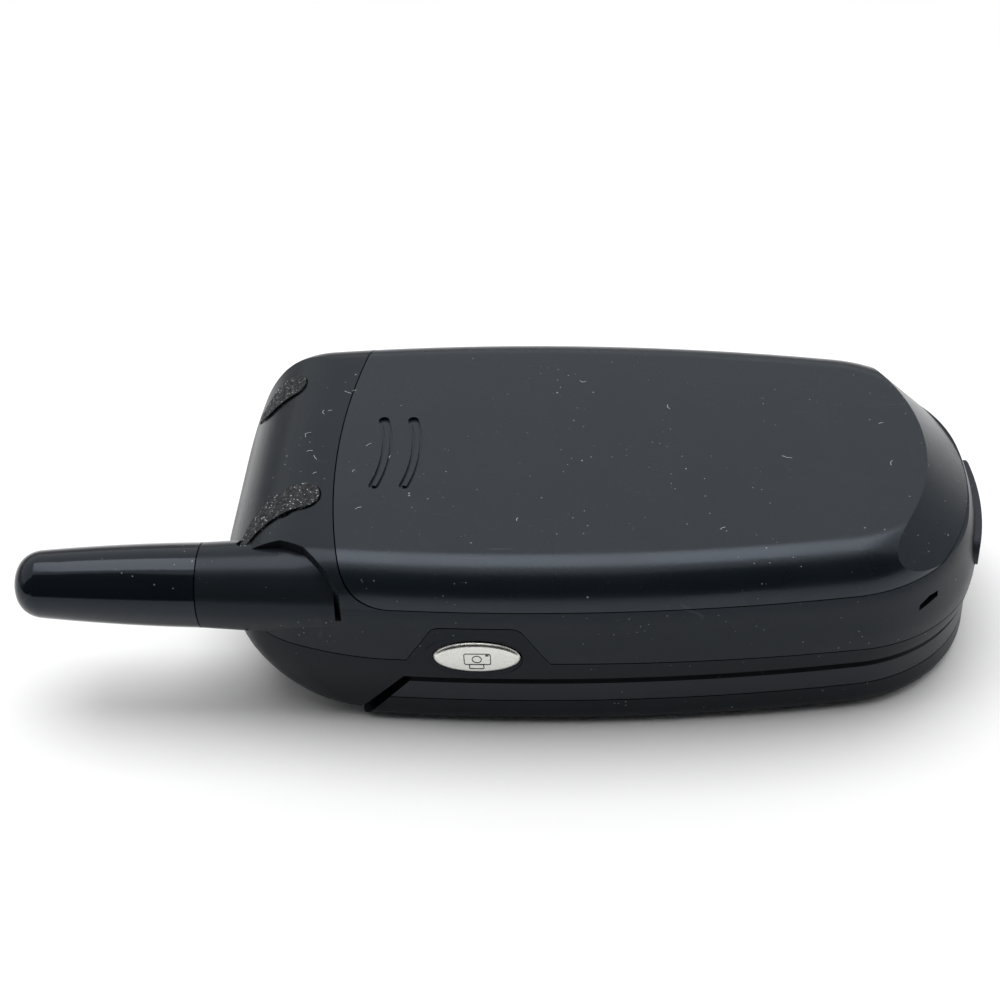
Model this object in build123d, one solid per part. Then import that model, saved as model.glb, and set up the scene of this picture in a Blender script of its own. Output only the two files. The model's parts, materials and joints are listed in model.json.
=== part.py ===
from build123d import *
import math
import os

# Clamshell camera phone, closed and lying on the outer face of its lid.
# Frame: origin in the middle of the lid's outer face, +X towards the charging end (the foot),
# -X towards the hinge and the antenna, -Y the side of the antenna, +Z up through the battery face.
# All sizes in millimetres.

# ------------------------------------------------------------------ outside form of the body
BODY_LENGTH = 90.2
BODY_WIDTH = 47.4
BODY_HEIGHT = 24.0
WIDEST_X = -10.0  # where the barrel-shaped plan is widest
SIDE_RADIUS = 250.0
FOOT_RADIUS = 38.0
FOOT_FLAT = 6.7  # from the middle to where the foot starts to round its corners
HINGE_END_RADIUS = 66.0
HINGE_CORNER = 9.5
EQUATOR_Z = 12.4  # height at which the side walls stand furthest out
SHOULDER_RADIUS = 11.8  # round of the hinge end below the equator
ROLL_RADIUS = 11.0  # round of the hinge end above the equator
BACK_EDGE_RADIUS = 5.0  # roll of the back into the side walls
BACK_SEAM_Z = 18.9  # height of the seam under the battery pack
SEAM_SIDE_IN = 0.2  # how far the outline has drawn in at that seam, from the equator
SEAM_FOOT_IN = 1.5
SEAM_HINGE_IN = 0.3
SEAM = 0.15  # open width of every seam between mouldings
FOOT_SLOPE_RUN = 5.3  # plan length of the glossy slope at the foot of the pack
FOOT_SLOPE_RADIUS = 27.2

# ------------------------------------------------------------------ walls and boards
WALL = 1.4
PLATE = 1.2
FRONT_FACE_Z = 8.3  # keypad face of the front housing
BOARD_Z = 11.1
BOARD_THICK = 0.8
BOARD_MARGIN = 2.4
LEDGE_REACH = 0.6  # how far the ledge runs in under the board's edge
CEILING_Z = 15.2  # underside of the battery bay
BAY_FLOOR_Z = 16.0
CAVITY_START_X = -28.5  # hinge-side end of the electronics cavity

# ------------------------------------------------------------------ lid
LID_THICKNESS = 7.5
LID_INSET = 0.7  # lid edge inside the body's widest outline
LID_EDGE_RADIUS = 2.2
LID_SPLIT_Z = 4.2
LID_WALL = 1.3
LID_PLATE = 1.1
LID_CAVITY_X = -22.5

# ------------------------------------------------------------------ hinge
HINGE_X = -37.5
HINGE_Z = 6.3
KNUCKLE_RADIUS = 6.1
KNUCKLE_WIDTH = 19.0
KNUCKLE_CLEARANCE = 0.4
HINGE_BORE_RADIUS = 3.05
RUNNING_FIT = 0.05
HINGE_PIN_RADIUS = 1.5
HINGE_HEAD_LENGTH = 4.2
HINGE_PIN_LENGTH = 6.5
BUSH_LENGTH = 9.5
BUSH_WALL = 0.85
FLEX_ROLL_RADIUS = 1.5
FLEX_THICK = 0.25
WING_GAP = 1.2  # slanted gap between a shoulder and the lid
WING_FOOT_X = -30.1  # where the slanted edge of a shoulder reaches the resting plane
WING_SLOPE_DEG = 48.7
HOOD_END_Z = 11.4  # lower edge of the hood behind the knuckle, the lid's open stop

# ------------------------------------------------------------------ battery pack
SEAM_APEX_X = -31.7  # hinge-side tip of the pack
SEAM_ARC_RADIUS = 96.0
PACK_CORNER_RADIUS = 4.9
CELL_LENGTH = 52.0
CELL_WIDTH = 33.0
CELL_THICK = 5.2
CELL_START_X = -26.2
TRAY_WALL = 1.0
TRAY_FLOOR = 0.6
FIT_GAP = 0.3
PACK_TRAVEL = 3.0
HOOK_LENGTH = 4.0
HOOK_REACH = 0.8
HOOK_Z = 16.6
HOOK_XS = (-18.0, 14.0)
GRIP_WIDTH = 1.3
GRIP_DEPTH = 0.35

# ------------------------------------------------------------------ antenna
ANTENNA_Y = -17.0
ANTENNA_Z = 17.0
ANTENNA_TIP_X = -68.5
ANTENNA_SEAM_X = -46.2
ANTENNA_SEAM_RADIUS = 5.0
ANTENNA_TIP_RADIUS = 4.0
BOSS_ROOT_RADIUS = 5.9
BOSS_ROOT_X = -30.0
BOSS_NECK_X = -41.0
FERRULE_RADIUS = 2.4
FERRULE_DEPTH = 9.0
COIL_RADIUS = 1.9

# ------------------------------------------------------------------ rubber grips and screws
PAD_DEPTH = 0.8
PAD_PROUD = 0.25
PAD_GAP = 0.2
SCREW_RADIUS = 0.8
SCREW_HEAD_RADIUS = 1.4
SCREW_HEAD_HEIGHT = 1.0
SCREW_END_Z = 10.4
NEAR_SCREW = (-37.0, -11.3)
FAR_SCREW = (-39.9, 12.6)
FOOT_SCREW = (37.6, 9.2)
BOSS_RADIUS = 2.0

# ------------------------------------------------------------------ keys
KEY_PROUD = 0.4
KEY_GAP = 0.2
KEY_TRAVEL = 0.3
KEY_FLANGE = 0.4
KEY_FLANGE_THICK = 0.6
KEY_CORNER = 1.2
KEY_EDGE = 0.2
PLUNGER_RADIUS = 1.1
DOME_SHEET_THICK = 0.15
NUMBER_KEY_LENGTH = 5.6
NUMBER_KEY_WIDTH = 10.0
NUMBER_ROW_X = 5.6
NUMBER_ROW_PITCH = 7.2
NUMBER_COLUMN_PITCH = 11.4
NAV_X = -13.0
NAV_RADIUS = 8.2
OK_RADIUS = 3.6
SOFT_KEY_X = -18.6
CALL_KEY_X = -8.4
SIDE_COLUMN_Y = 14.2
CLEAR_KEY_X = -0.8
SMALL_KEY_LENGTH = 4.2
SMALL_KEY_WIDTH = 7.6

# ------------------------------------------------------------------ side keys
CAMERA_KEY_X = -14.0
CAMERA_KEY_Z = 12.1
CAMERA_KEY_LENGTH = 10.2
CAMERA_KEY_HEIGHT = 5.0
SIDE_KEY_PROUD = 0.35
SIDE_KEY_GAP = 0.2
SIDE_KEY_TRAVEL = 0.4
SIDE_FLANGE = 0.6
SIDE_FLANGE_THICK = 0.6
SIDE_FLANGE_GAP = 0.15  # free play between a side key's flange and the wall
FLANGE_CLEARANCE = 0.15
SIDE_KEY_EDGE = 0.5
SIDE_PLUNGER = 0.7
VOLUME_X = -8.0
VOLUME_LENGTH = 17.0
VOLUME_HEIGHT = 4.2
VOLUME_FLANGE_REACH = 3.0
BUMP_RISE = 1.9  # front housing above a side key
BUMP_RUN = 4.0  # length of each ramp beside a side key
BUMP_ROUND = 1.6
SWITCH_SIZE = 1.8

# ------------------------------------------------------------------ foot
PORT_Z = 13.9
FLAP_WIDTH = 17.0
FLAP_HEIGHT = 4.2
FLAP_THICK = 1.2
FLAP_PROUD = 0.3
PORT_WIDTH = 12.0
PORT_HEIGHT = 2.6
PORT_DEPTH = 6.5
PORT_BACK = 0.9  # from the flap to the socket's mouth
NOTCH_X = 37.6
NOTCH_Z = 15.3
NOTCH_LENGTH = 2.2
NOTCH_HEIGHT = 1.5
NOTCH_DEPTH = 1.1
MIC_X = 38.5
MIC_RADIUS = 2.0
JACK_X = 21.0
JACK_Z = 13.5
JACK_RADIUS = 1.25
JACK_BODY = 3.2
JACK_LENGTH = 8.5

# ------------------------------------------------------------------ lid contents
MAIN_WINDOW_X = 6.0
MAIN_WINDOW_LENGTH = 40.0
MAIN_WINDOW_WIDTH = 32.0
WINDOW_THICK = 0.8
WINDOW_REBATE = 1.5
WINDOW_SET_BACK = 0.05
WINDOW_CORNER = 2.0
DISPLAY_THICK = 1.7
OUTER_WINDOW_X = -12.5
OUTER_WINDOW_LENGTH = 18.0
OUTER_WINDOW_WIDTH = 24.0
OUTER_DISPLAY_THICK = 1.2
LENS_X = 8.5
LENS_RADIUS = 3.0
LENS_THICK = 0.7
CAMERA_BODY = 7.0
EARPIECE_X = 33.0
EARPIECE_RADIUS = 4.2
EARPIECE_SLOT = 6.0
EARPIECE_SLOT_WIDTH = 0.7
LID_BOARD_Z = 3.4
LID_BOARD_THICK = 0.7
LID_BOARD_MARGIN = 1.8
BUMPER_X = 38.0
BUMPER_Y = 8.8
BUMPER_RADIUS = 1.6
BUMPER_SEAT = 0.3
LID_SCREW_X = -19.5
LID_SCREW_Y = 19.2

# ------------------------------------------------------------------ small parts on the board
SHEET = 0.3
SHIELD_X = -16.0
SHIELD_LENGTH = 34.0
SHIELD_WIDTH = 27.0
SHIELD_HEIGHT = 2.6
CONTACT_X = -23.0
CONTACT_LENGTH = 4.0
CONTACT_WIDTH = 9.0
MOTOR_RADIUS = 1.55
MOTOR_LENGTH = 10.0
MOTOR_X = 27.0
MOTOR_Y = 14.0

# ------------------------------------------------------------------ values that follow
FOOT_X = BODY_LENGTH / 2
HINGE_END_X = -BODY_LENGTH / 2
HALF_WIDTH = BODY_WIDTH / 2
FOOT_CORNER = HALF_WIDTH - FOOT_FLAT
KNUCKLE_HALF = KNUCKLE_WIDTH / 2
SHOULDER_Y = KNUCKLE_HALF + KNUCKLE_CLEARANCE
FRONT_INSIDE_Z = FRONT_FACE_Z + PLATE
BOARD_TOP_Z = BOARD_Z + BOARD_THICK
DOME_Z = BOARD_Z - DOME_SHEET_THICK
TRAY_BOTTOM_Z = BAY_FLOOR_Z + SEAM
PACK_BOTTOM_Z = BACK_SEAM_Z + SEAM
CELL_Z = TRAY_BOTTOM_Z + TRAY_FLOOR
BEYOND = 20.0  # how far a cutting shape runs past the part


# ================================================================== drawing helpers
def block(x_span, y_span, z_span):
    """Box between two values on each axis."""
    middle = [sum(span) / 2 for span in (x_span, y_span, z_span)]
    sizes = [span[1] - span[0] for span in (x_span, y_span, z_span)]
    return Pos(*middle) * Box(*sizes)


def rod_x(radius, x_span, y, z):
    """Round bar along X."""
    return Pos(sum(x_span) / 2, y, z) * Rot(0, 90, 0) * Cylinder(radius, x_span[1] - x_span[0])


def rod_y(radius, x, y_span, z):
    """Round bar along Y."""
    return Pos(x, sum(y_span) / 2, z) * Rot(90, 0, 0) * Cylinder(radius, y_span[1] - y_span[0])


def rod_z(radius, x, y, z_span):
    """Round bar along Z."""
    return Pos(x, y, sum(z_span) / 2) * Cylinder(radius, z_span[1] - z_span[0])


def upright(sketch, z_span):
    """Sketch drawn from above, extruded between two heights."""
    return Pos(0, 0, z_span[0]) * extrude(sketch, z_span[1] - z_span[0])


def sideways(sketch, y_span):
    """Sketch drawn in side view, X across and Z up, extruded between two values of Y."""
    return Pos(0, y_span[1], 0) * extrude(Plane.XZ * sketch, y_span[1] - y_span[0])


def rounded_block(x, y, length, width, corner, z_span):
    """Upright block with rounded vertical corners."""
    return upright(Pos(x, y) * RectangleRounded(length, width, corner), z_span)


# ================================================================== outside form
def plan(side_in=0.0, foot_in=0.0, hinge_in=0.0):
    """Barrel-shaped plan made of four long arcs with rounded corners, drawn in from the widest."""
    half = HALF_WIDTH - side_in
    shape = Pos(WIDEST_X, half - SIDE_RADIUS) * Circle(SIDE_RADIUS)
    shape &= Pos(WIDEST_X, SIDE_RADIUS - half) * Circle(SIDE_RADIUS)
    shape &= rounded_end(FOOT_X - foot_in, FOOT_RADIUS)
    shape &= Pos(HINGE_END_X + hinge_in + HINGE_END_RADIUS, 0) * Circle(HINGE_END_RADIUS)
    shape = fillet(shape.vertices().sort_by(Axis.X)[-2:], FOOT_CORNER)
    return fillet(shape.vertices().sort_by(Axis.X)[:2], HINGE_CORNER)


def rounded_end(x, radius):
    """Endless strip towards the hinge that ends in an arc at a place on X."""
    strip = Rectangle(BODY_LENGTH, 2 * radius, align=(Align.MAX, Align.CENTER))
    return Pos(x - radius, 0) * (Circle(radius) + strip)


def inner_plan(depth):
    """Plan the same distance inside the outline all round."""
    return plan(depth, depth, depth)


def shoulder_inset(z):
    """How far the hinge end is drawn in at a height below the equator."""
    drop = min(EQUATOR_Z - z, SHOULDER_RADIUS)
    return SHOULDER_RADIUS - math.sqrt(SHOULDER_RADIUS**2 - drop**2)


def wall_form():
    """The moulded walls from the resting plane to the battery seam, bulging at the equator."""
    low = EQUATOR_Z - SHOULDER_RADIUS
    levels = [
        (low, 2.6, 3.4, SHOULDER_RADIUS),
        (low + 1.1, 1.35, 2.2, shoulder_inset(low + 1.1)),
        (low + 3.2, 0.75, 1.3, shoulder_inset(low + 3.2)),
        (low + 6.4, 0.45, 0.75, shoulder_inset(low + 6.4)),
        (low + 9.2, 0.12, 0.2, shoulder_inset(low + 9.2)),
        (EQUATOR_Z, 0.0, 0.0, 0.0),
        ((EQUATOR_Z + BACK_SEAM_Z) / 2, SEAM_SIDE_IN * 0.3, SEAM_FOOT_IN * 0.3, SEAM_HINGE_IN * 0.3),
        (BACK_SEAM_Z, SEAM_SIDE_IN, SEAM_FOOT_IN, SEAM_HINGE_IN),
    ]
    return loft([Pos(0, 0, z) * plan(side, foot, hinge) for z, side, foot, hinge in levels])


def back_form():
    """The back above the battery seam: rolled edges, and a slope cut across the foot."""
    outline = plan(SEAM_SIDE_IN, SEAM_FOOT_IN, SEAM_HINGE_IN)
    shape = upright(outline, (BACK_SEAM_Z, BODY_HEIGHT))
    shape = fillet(shape.faces().sort_by(Axis.Z)[-1].edges(), BACK_EDGE_RADIUS)
    return shape & foot_slope()


def foot_slope():
    """Everything on the hinge side of the slope that ends the pack at the foot."""
    shape = rounded_end(FOOT_X - SEAM_FOOT_IN, FOOT_SLOPE_RADIUS)
    lean = Vector(-FOOT_SLOPE_RUN, 0, BODY_HEIGHT - BACK_SEAM_Z)
    return extrude(Pos(0, 0, BACK_SEAM_Z) * shape, amount=lean.length, dir=lean)


def hinge_roll(grow=0.0):
    """Side-view prism whose hinge end is rounded over the top, grown by a set distance."""
    radius = ROLL_RADIUS + grow
    centre_x = HINGE_END_X + ROLL_RADIUS
    centre_z = BODY_HEIGHT - ROLL_RADIUS
    far_x = FOOT_X + BEYOND
    middle = Rectangle(far_x - centre_x, radius + BODY_HEIGHT, align=(Align.MIN, Align.MAX))
    low = Rectangle(radius, BODY_HEIGHT, align=(Align.MAX, Align.MAX))
    shape = Circle(radius) + Pos(0, radius) * middle + low
    return sideways(Pos(centre_x, centre_z) * shape, (-BODY_WIDTH, BODY_WIDTH))


def antenna_relief():
    """Corner cut away above the antenna boss, up to a crease that runs out to the battery seam."""
    crease = Polyline(
        (HINGE_END_X - BEYOND, -16.6), (-36.5, -16.6), (-33.6, -18.0), (-29.3, -22.4),
        (-29.3, -BODY_WIDTH), (HINGE_END_X - BEYOND, -BODY_WIDTH), close=True,
    )
    return upright(make_face(crease), (ANTENNA_Z, BODY_HEIGHT + 1))


def antenna_boss(grow=0.0):
    """Tapered boss that carries the antenna, flaring into the corner of the housing."""
    profile = Polyline(
        (ANTENNA_SEAM_X, 0), (ANTENNA_SEAM_X, ANTENNA_SEAM_RADIUS + grow),
        (BOSS_ROOT_X, BOSS_ROOT_RADIUS + grow), (BOSS_ROOT_X, 0), close=True,
    )
    return Pos(0, ANTENNA_Y, ANTENNA_Z) * revolve(make_face(profile), Axis.X)


def boss_neck():
    """Stretch in which the boss passes over the end of the near shoulder."""
    return block((ANTENNA_SEAM_X - 1, BOSS_NECK_X), (-BODY_WIDTH, 0), (0, BODY_HEIGHT))


def body_form():
    """Whole outside of the closed body, without the antenna boss."""
    return ((wall_form() + back_form()) & hinge_roll()) - antenna_relief()


def pack_region(gap):
    """Space of the battery pack, its lower hinge-side edge swept up in a round."""
    radius = SEAM_ARC_RADIUS - gap
    z_span = (BACK_SEAM_Z + gap, BODY_HEIGHT + BEYOND)
    shape = rod_z(radius, SEAM_APEX_X + SEAM_ARC_RADIUS, 0, z_span)
    return fillet(shape.faces().sort_by(Axis.Z)[0].edges(), PACK_CORNER_RADIUS)


def front_region(lift=0.0):
    """Everything below the part line between the housings, with a bump over each side key."""
    left, right = HINGE_END_X - BEYOND, FOOT_X + BEYOND
    top = Spline((-41.5, 14.4), (-36.8, 13.1), (-30.0, 11.6), (-23.5, 11.2))
    line = Polyline((-23.5, 11.2), (right, 10.0), (right, -BEYOND), (left, -BEYOND), (left, 14.4))
    shape = make_face([top, line, Line((left, 14.4), (-41.5, 14.4))])
    region = sideways(shape, (-BODY_WIDTH, BODY_WIDTH))
    inner = HALF_WIDTH - WALL - 0.5
    camera = key_bump(CAMERA_KEY_X, CAMERA_KEY_LENGTH, CAMERA_KEY_HEIGHT)
    volume = key_bump(VOLUME_X, VOLUME_LENGTH, VOLUME_HEIGHT)
    region += sideways(camera, (-BODY_WIDTH, -inner))
    region += sideways(volume, (inner, BODY_WIDTH))
    return Pos(0, 0, lift) * region


def key_bump(x, length, height):
    """Rounded ramp outline that lifts the part line over a side key."""
    top = CAMERA_KEY_Z + height / 2 + BUMP_RISE
    half_top = length / 2 - 0.2
    half_foot = half_top + BUMP_RUN
    shape = Polyline(
        (x - half_foot, EQUATOR_Z - 2.2), (x - half_top, top), (x + half_top, top),
        (x + half_foot, EQUATOR_Z - 2.2), close=True,
    )
    face = make_face(shape)
    return fillet(face.vertices().sort_by(Axis.Y)[-2:], BUMP_ROUND)


def shoulder_cut():
    """Space below the keypad face that the lid takes, leaving the two hinge shoulders."""
    rise = FRONT_FACE_Z
    run = rise / math.tan(math.radians(WING_SLOPE_DEG))
    right = FOOT_X + BEYOND
    outline = Polyline(
        (WING_FOOT_X - run, -rise), (WING_FOOT_X + run, rise), (right, rise), (right, -rise), close=True
    )
    cut = sideways(make_face(outline), (-BODY_WIDTH, BODY_WIDTH))
    return cut + knuckle_space()


def knuckle_space():
    """Room for the lid's knuckle to turn in, between the shoulders and under the hood."""
    radius = KNUCKLE_RADIUS + KNUCKLE_CLEARANCE
    y_span = (-SHOULDER_Y, SHOULDER_Y)
    left = HINGE_END_X - BEYOND
    space = rod_y(radius, HINGE_X, y_span, HINGE_Z)
    space += block((left, HINGE_X), y_span, (-BEYOND, HOOD_END_Z))
    return space + block((HINGE_X, FOOT_X), y_span, (-BEYOND, FRONT_FACE_Z))


def side_wall_y(x):
    """Half-width of the body at a place on X, away from the rounded corners."""
    return HALF_WIDTH - SIDE_RADIUS + math.sqrt(SIDE_RADIUS**2 - (x - WIDEST_X) ** 2)


# ================================================================== housings
def cavity(z_span, depth=WALL):
    """Room for the electronics inside the side walls."""
    room = upright(inner_plan(depth), z_span)
    return room & block((CAVITY_START_X, FOOT_X), (-BODY_WIDTH, BODY_WIDTH), z_span)


def rear_housing():
    low = front_region(SEAM)
    shape = body_form() - low + (antenna_boss() - (low - boss_neck()))
    shape -= pack_region(0)
    shape -= cavity((0, CEILING_Z))
    shape -= battery_bay()
    shape -= contact_window()
    for outline in (near_pad_outline(PAD_GAP), far_pad_outline(PAD_GAP)):
        shape -= upright(outline, (BACK_SEAM_Z - 1, BODY_HEIGHT + 1)) - hinge_roll(-PAD_DEPTH)
    shape -= antenna_bore()
    shape -= screw_holes()
    shape -= foot_port()
    shape -= strap_notch()
    shape -= rod_y(JACK_RADIUS + 0.4, JACK_X, (0, BODY_WIDTH), JACK_Z)
    return shape


def battery_bay():
    """Tray recess under the pack, long enough for it to slide, with slots for its hooks."""
    x_span = (tray_span()[0] - FIT_GAP, tray_span()[1] + PACK_TRAVEL + FIT_GAP)
    half = tray_half_width() + FIT_GAP
    bay = block(x_span, (-half, half), (BAY_FLOOR_Z, BODY_HEIGHT))
    for x in HOOK_XS:
        reach = half + HOOK_REACH
        slot_end = x + HOOK_LENGTH + PACK_TRAVEL + FIT_GAP
        bay += block((x - FIT_GAP, slot_end), (-reach, reach), (HOOK_Z - 0.2, HOOK_Z + 1.0))
        bay += block((x + PACK_TRAVEL - FIT_GAP, slot_end), (-reach, reach), (HOOK_Z, BODY_HEIGHT))
    return bay


def contact_window():
    """Opening in the bay floor for the spring contacts."""
    return block(
        (CONTACT_X - FIT_GAP, CONTACT_X + CONTACT_LENGTH + FIT_GAP),
        (-CONTACT_WIDTH / 2 - FIT_GAP, CONTACT_WIDTH / 2 + FIT_GAP),
        (CEILING_Z - 1, BAY_FLOOR_Z + 1),
    )


def antenna_bore():
    return rod_x(FERRULE_RADIUS, (ANTENNA_SEAM_X - 1, ANTENNA_SEAM_X + FERRULE_DEPTH), ANTENNA_Y, ANTENNA_Z)


def foot_port():
    """Seat of the rubber flap and the opening to the charging socket behind it."""
    outline = Pos(0, PORT_Z) * SlotOverall(FLAP_WIDTH + 2 * SEAM, FLAP_HEIGHT + 2 * SEAM)
    seat = extrude(Plane.YZ * outline, FOOT_X + BEYOND)
    seat -= upright(foot_disc(-FLAP_THICK - SEAM), (0, BODY_HEIGHT))
    half = PORT_WIDTH / 2 + FIT_GAP
    rise = PORT_HEIGHT / 2 + FIT_GAP
    return seat + block((FOOT_X - 6, FOOT_X), (-half, half), (PORT_Z - rise, PORT_Z + rise))


def foot_disc(grow):
    """Disc whose edge follows the foot's end wall."""
    return Pos(FOOT_X - FOOT_RADIUS, 0) * Circle(FOOT_RADIUS + grow)


def strap_notch():
    """Small wedge recess in the near side just under the battery seam."""
    outline = Polyline(
        (NOTCH_X - NOTCH_LENGTH / 2, NOTCH_Z - NOTCH_HEIGHT / 2), (NOTCH_X - NOTCH_LENGTH / 2, NOTCH_Z),
        (NOTCH_X, NOTCH_Z + NOTCH_HEIGHT / 2), (NOTCH_X + NOTCH_LENGTH / 2, NOTCH_Z + NOTCH_HEIGHT / 2),
        (NOTCH_X + NOTCH_LENGTH / 2, NOTCH_Z), close=True,
    )
    wall = inner_plan(NOTCH_DEPTH)
    return sideways(make_face(outline), (-BODY_WIDTH, 0)) - upright(wall, (0, BODY_HEIGHT))


def front_housing():
    shape = (body_form() & front_region()) - shoulder_cut()
    shape -= antenna_boss(SEAM) & boss_neck()
    shape -= cavity((FRONT_INSIDE_Z, BODY_HEIGHT))
    shape += board_ledge() + foot_bosses()
    shape -= key_holes()
    shape -= side_key_holes()
    shape -= hinge_seats()
    shape -= screw_holes()
    return shape - rod_z(0.5, MIC_X, 0, (0, BOARD_Z))


def board_ledge():
    """Rib round the inside of the walls that carries the edge of the main board."""
    z_span = (FRONT_INSIDE_Z - 0.1, BOARD_Z)
    ledge = cavity(z_span, WALL + SEAM) - upright(inner_plan(BOARD_MARGIN + LEDGE_REACH), z_span)
    return ledge - block((CAMERA_KEY_X - 7, CAMERA_KEY_X + 7), (-BODY_WIDTH, 0), z_span) - block(
        (VOLUME_X - 11, VOLUME_X + 11), (0, BODY_WIDTH), z_span
    )


def foot_bosses():
    """Screw bosses that stand on the keypad plate at the foot."""
    x, y = FOOT_SCREW
    z_span = (FRONT_INSIDE_Z - 0.1, CEILING_Z - SEAM)
    return rod_z(BOSS_RADIUS, x, y, z_span) + rod_z(BOSS_RADIUS, x, -y, z_span)


def hinge_seats():
    """Blind seats in the shoulders for the cam head and the bush, and the cable's way."""
    head = rod_y(HINGE_BORE_RADIUS - 0.4, HINGE_X, (-SHOULDER_Y - HINGE_HEAD_LENGTH, 0), HINGE_Z)
    bush = rod_y(HINGE_BORE_RADIUS, HINGE_X, (0, bush_span()[1]), HINGE_Z)
    way = rod_y(FLEX_ROLL_RADIUS + FIT_GAP, HINGE_X, (0, bush_span()[1] + 3), HINGE_Z)
    return head + bush + way


def bush_span():
    """Ends of the hinge bush on Y: half in the knuckle, half in the far shoulder."""
    return (KNUCKLE_HALF - BUSH_LENGTH / 2, KNUCKLE_HALF + BUSH_LENGTH / 2)


# ================================================================== screws
def roll_height(x):
    """Height of the hinge end's roll at a place on X."""
    run = max(0.0, HINGE_END_X + ROLL_RADIUS - x)
    return BODY_HEIGHT - ROLL_RADIUS + math.sqrt(ROLL_RADIUS**2 - run**2)


def screw_places():
    """Centre and head height of each housing screw."""
    places = []
    for x, y in (NEAR_SCREW, FAR_SCREW):
        places.append((x, y, roll_height(x - SCREW_HEAD_RADIUS) - PAD_DEPTH - 0.2))
    for side in (-1, 1):
        places.append((FOOT_SCREW[0], side * FOOT_SCREW[1], BACK_SEAM_Z - 0.3))
    return places


def screw(x, y, top, end_z):
    """Pan-head screw with a round shank."""
    head = rod_z(SCREW_HEAD_RADIUS, x, y, (top - SCREW_HEAD_HEIGHT, top))
    return head + rod_z(SCREW_RADIUS, x, y, (end_z, top - SCREW_HEAD_HEIGHT))


def screw_holes():
    holes = []
    for x, y, top in screw_places():
        head = rod_z(SCREW_HEAD_RADIUS + RUNNING_FIT, x, y, (top - SCREW_HEAD_HEIGHT, BODY_HEIGHT))
        holes.append(head + rod_z(SCREW_RADIUS + RUNNING_FIT, x, y, (SCREW_END_Z, top)))
    return holes


def housing_screws():
    return Compound([screw(x, y, top, SCREW_END_Z) for x, y, top in screw_places()])


# ================================================================== rubber grips
def near_pad_outline(grow=0.0):
    """Leaf that runs from a fat round end to a point beside the antenna."""
    lines = [
        ThreePointArc((-34.4, -6.9), (-32.8, -9.1), (-34.4, -11.3)),
        ThreePointArc((-34.4, -11.3), (-37.9, -12.8), (-40.9, -15.7)),
        ThreePointArc((-40.9, -15.7), (-41.6, -15.6), (-41.7, -14.8)),
        ThreePointArc((-41.7, -14.8), (-39.2, -9.4), (-34.4, -6.9)),
    ]
    face = make_face(lines)
    return offset(face, grow) if grow else face


def far_pad_outline(grow=0.0):
    """Shorter drop-shaped grip on the far corner."""
    ends = Pos(-39.4, 13.0) * Circle(2.1 + grow), Pos(-42.0, 10.9) * Circle(1.2 + grow)
    return make_hull(ends[0].edges() + ends[1].edges())


def grip_pad(outline):
    """Rubber grip seated in its pocket and standing a little proud of the roll."""
    blank = upright(outline, (BACK_SEAM_Z, BODY_HEIGHT + 1))
    return (blank & hinge_roll(PAD_PROUD)) - hinge_roll(-PAD_DEPTH)


# ================================================================== antenna
def antenna_cap():
    """Slim moulded stub with a domed tip, bored for the ferrule and the coil."""
    dome = 3.0
    profile = make_face([
        Line((ANTENNA_SEAM_X - SEAM, 0), (ANTENNA_SEAM_X - SEAM, ANTENNA_SEAM_RADIUS)),
        Spline(
            (ANTENNA_SEAM_X - SEAM, ANTENNA_SEAM_RADIUS),
            ((ANTENNA_SEAM_X + ANTENNA_TIP_X) / 2, (ANTENNA_SEAM_RADIUS + ANTENNA_TIP_RADIUS) / 2 + 0.1),
            (ANTENNA_TIP_X + dome, ANTENNA_TIP_RADIUS),
        ),
        Spline(
            (ANTENNA_TIP_X + dome, ANTENNA_TIP_RADIUS), (ANTENNA_TIP_X, 0),
            tangents=[(-1, -0.15), (0, -1)],
        ),
        Line((ANTENNA_TIP_X, 0), (ANTENNA_SEAM_X - SEAM, 0)),
    ])
    shape = Pos(0, ANTENNA_Y, ANTENNA_Z) * revolve(profile, Axis.X)
    return shape - antenna_ferrule() - antenna_coil()


def antenna_ferrule():
    x_span = (ANTENNA_SEAM_X - 4.5, ANTENNA_SEAM_X + FERRULE_DEPTH)
    return rod_x(FERRULE_RADIUS, x_span, ANTENNA_Y, ANTENNA_Z)


def antenna_coil():
    x_span = (ANTENNA_TIP_X + 4.0, ANTENNA_SEAM_X - 4.5)
    return rod_x(COIL_RADIUS, x_span, ANTENNA_Y, ANTENNA_Z)


# ================================================================== battery pack
def tray_span():
    """Ends of the battery tray on X."""
    return (CELL_START_X - TRAY_WALL, CELL_START_X + CELL_LENGTH + TRAY_WALL)


def tray_half_width():
    return CELL_WIDTH / 2 + TRAY_WALL


def cell_room(gap):
    """Rounded block of the cell, grown by a gap at its sides and ends."""
    x = CELL_START_X + CELL_LENGTH / 2
    z_span = (CELL_Z, CELL_Z + CELL_THICK + gap)
    return rounded_block(x, 0, CELL_LENGTH + 2 * gap, CELL_WIDTH + 2 * gap, 1.5, z_span)


def battery_cover():
    """Moulded back of the pack, hollowed over the cell, with two curved grip grooves."""
    shape = (back_form() & hinge_roll()) & pack_region(SEAM)
    shape -= block((SEAM_APEX_X, FOOT_X), (-BODY_WIDTH, BODY_WIDTH), (0, PACK_BOTTOM_Z))
    shape -= cell_room(0.2)
    for x in (-22.4, -26.0):
        arc = ThreePointArc((x - 0.6, 5.0), (x + 0.3, -1.1), (x - 0.6, -7.2))
        groove = SlotArc(arc, GRIP_WIDTH)
        shape -= upright(groove, (BODY_HEIGHT - GRIP_DEPTH, BODY_HEIGHT + 1))
    return shape


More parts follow.
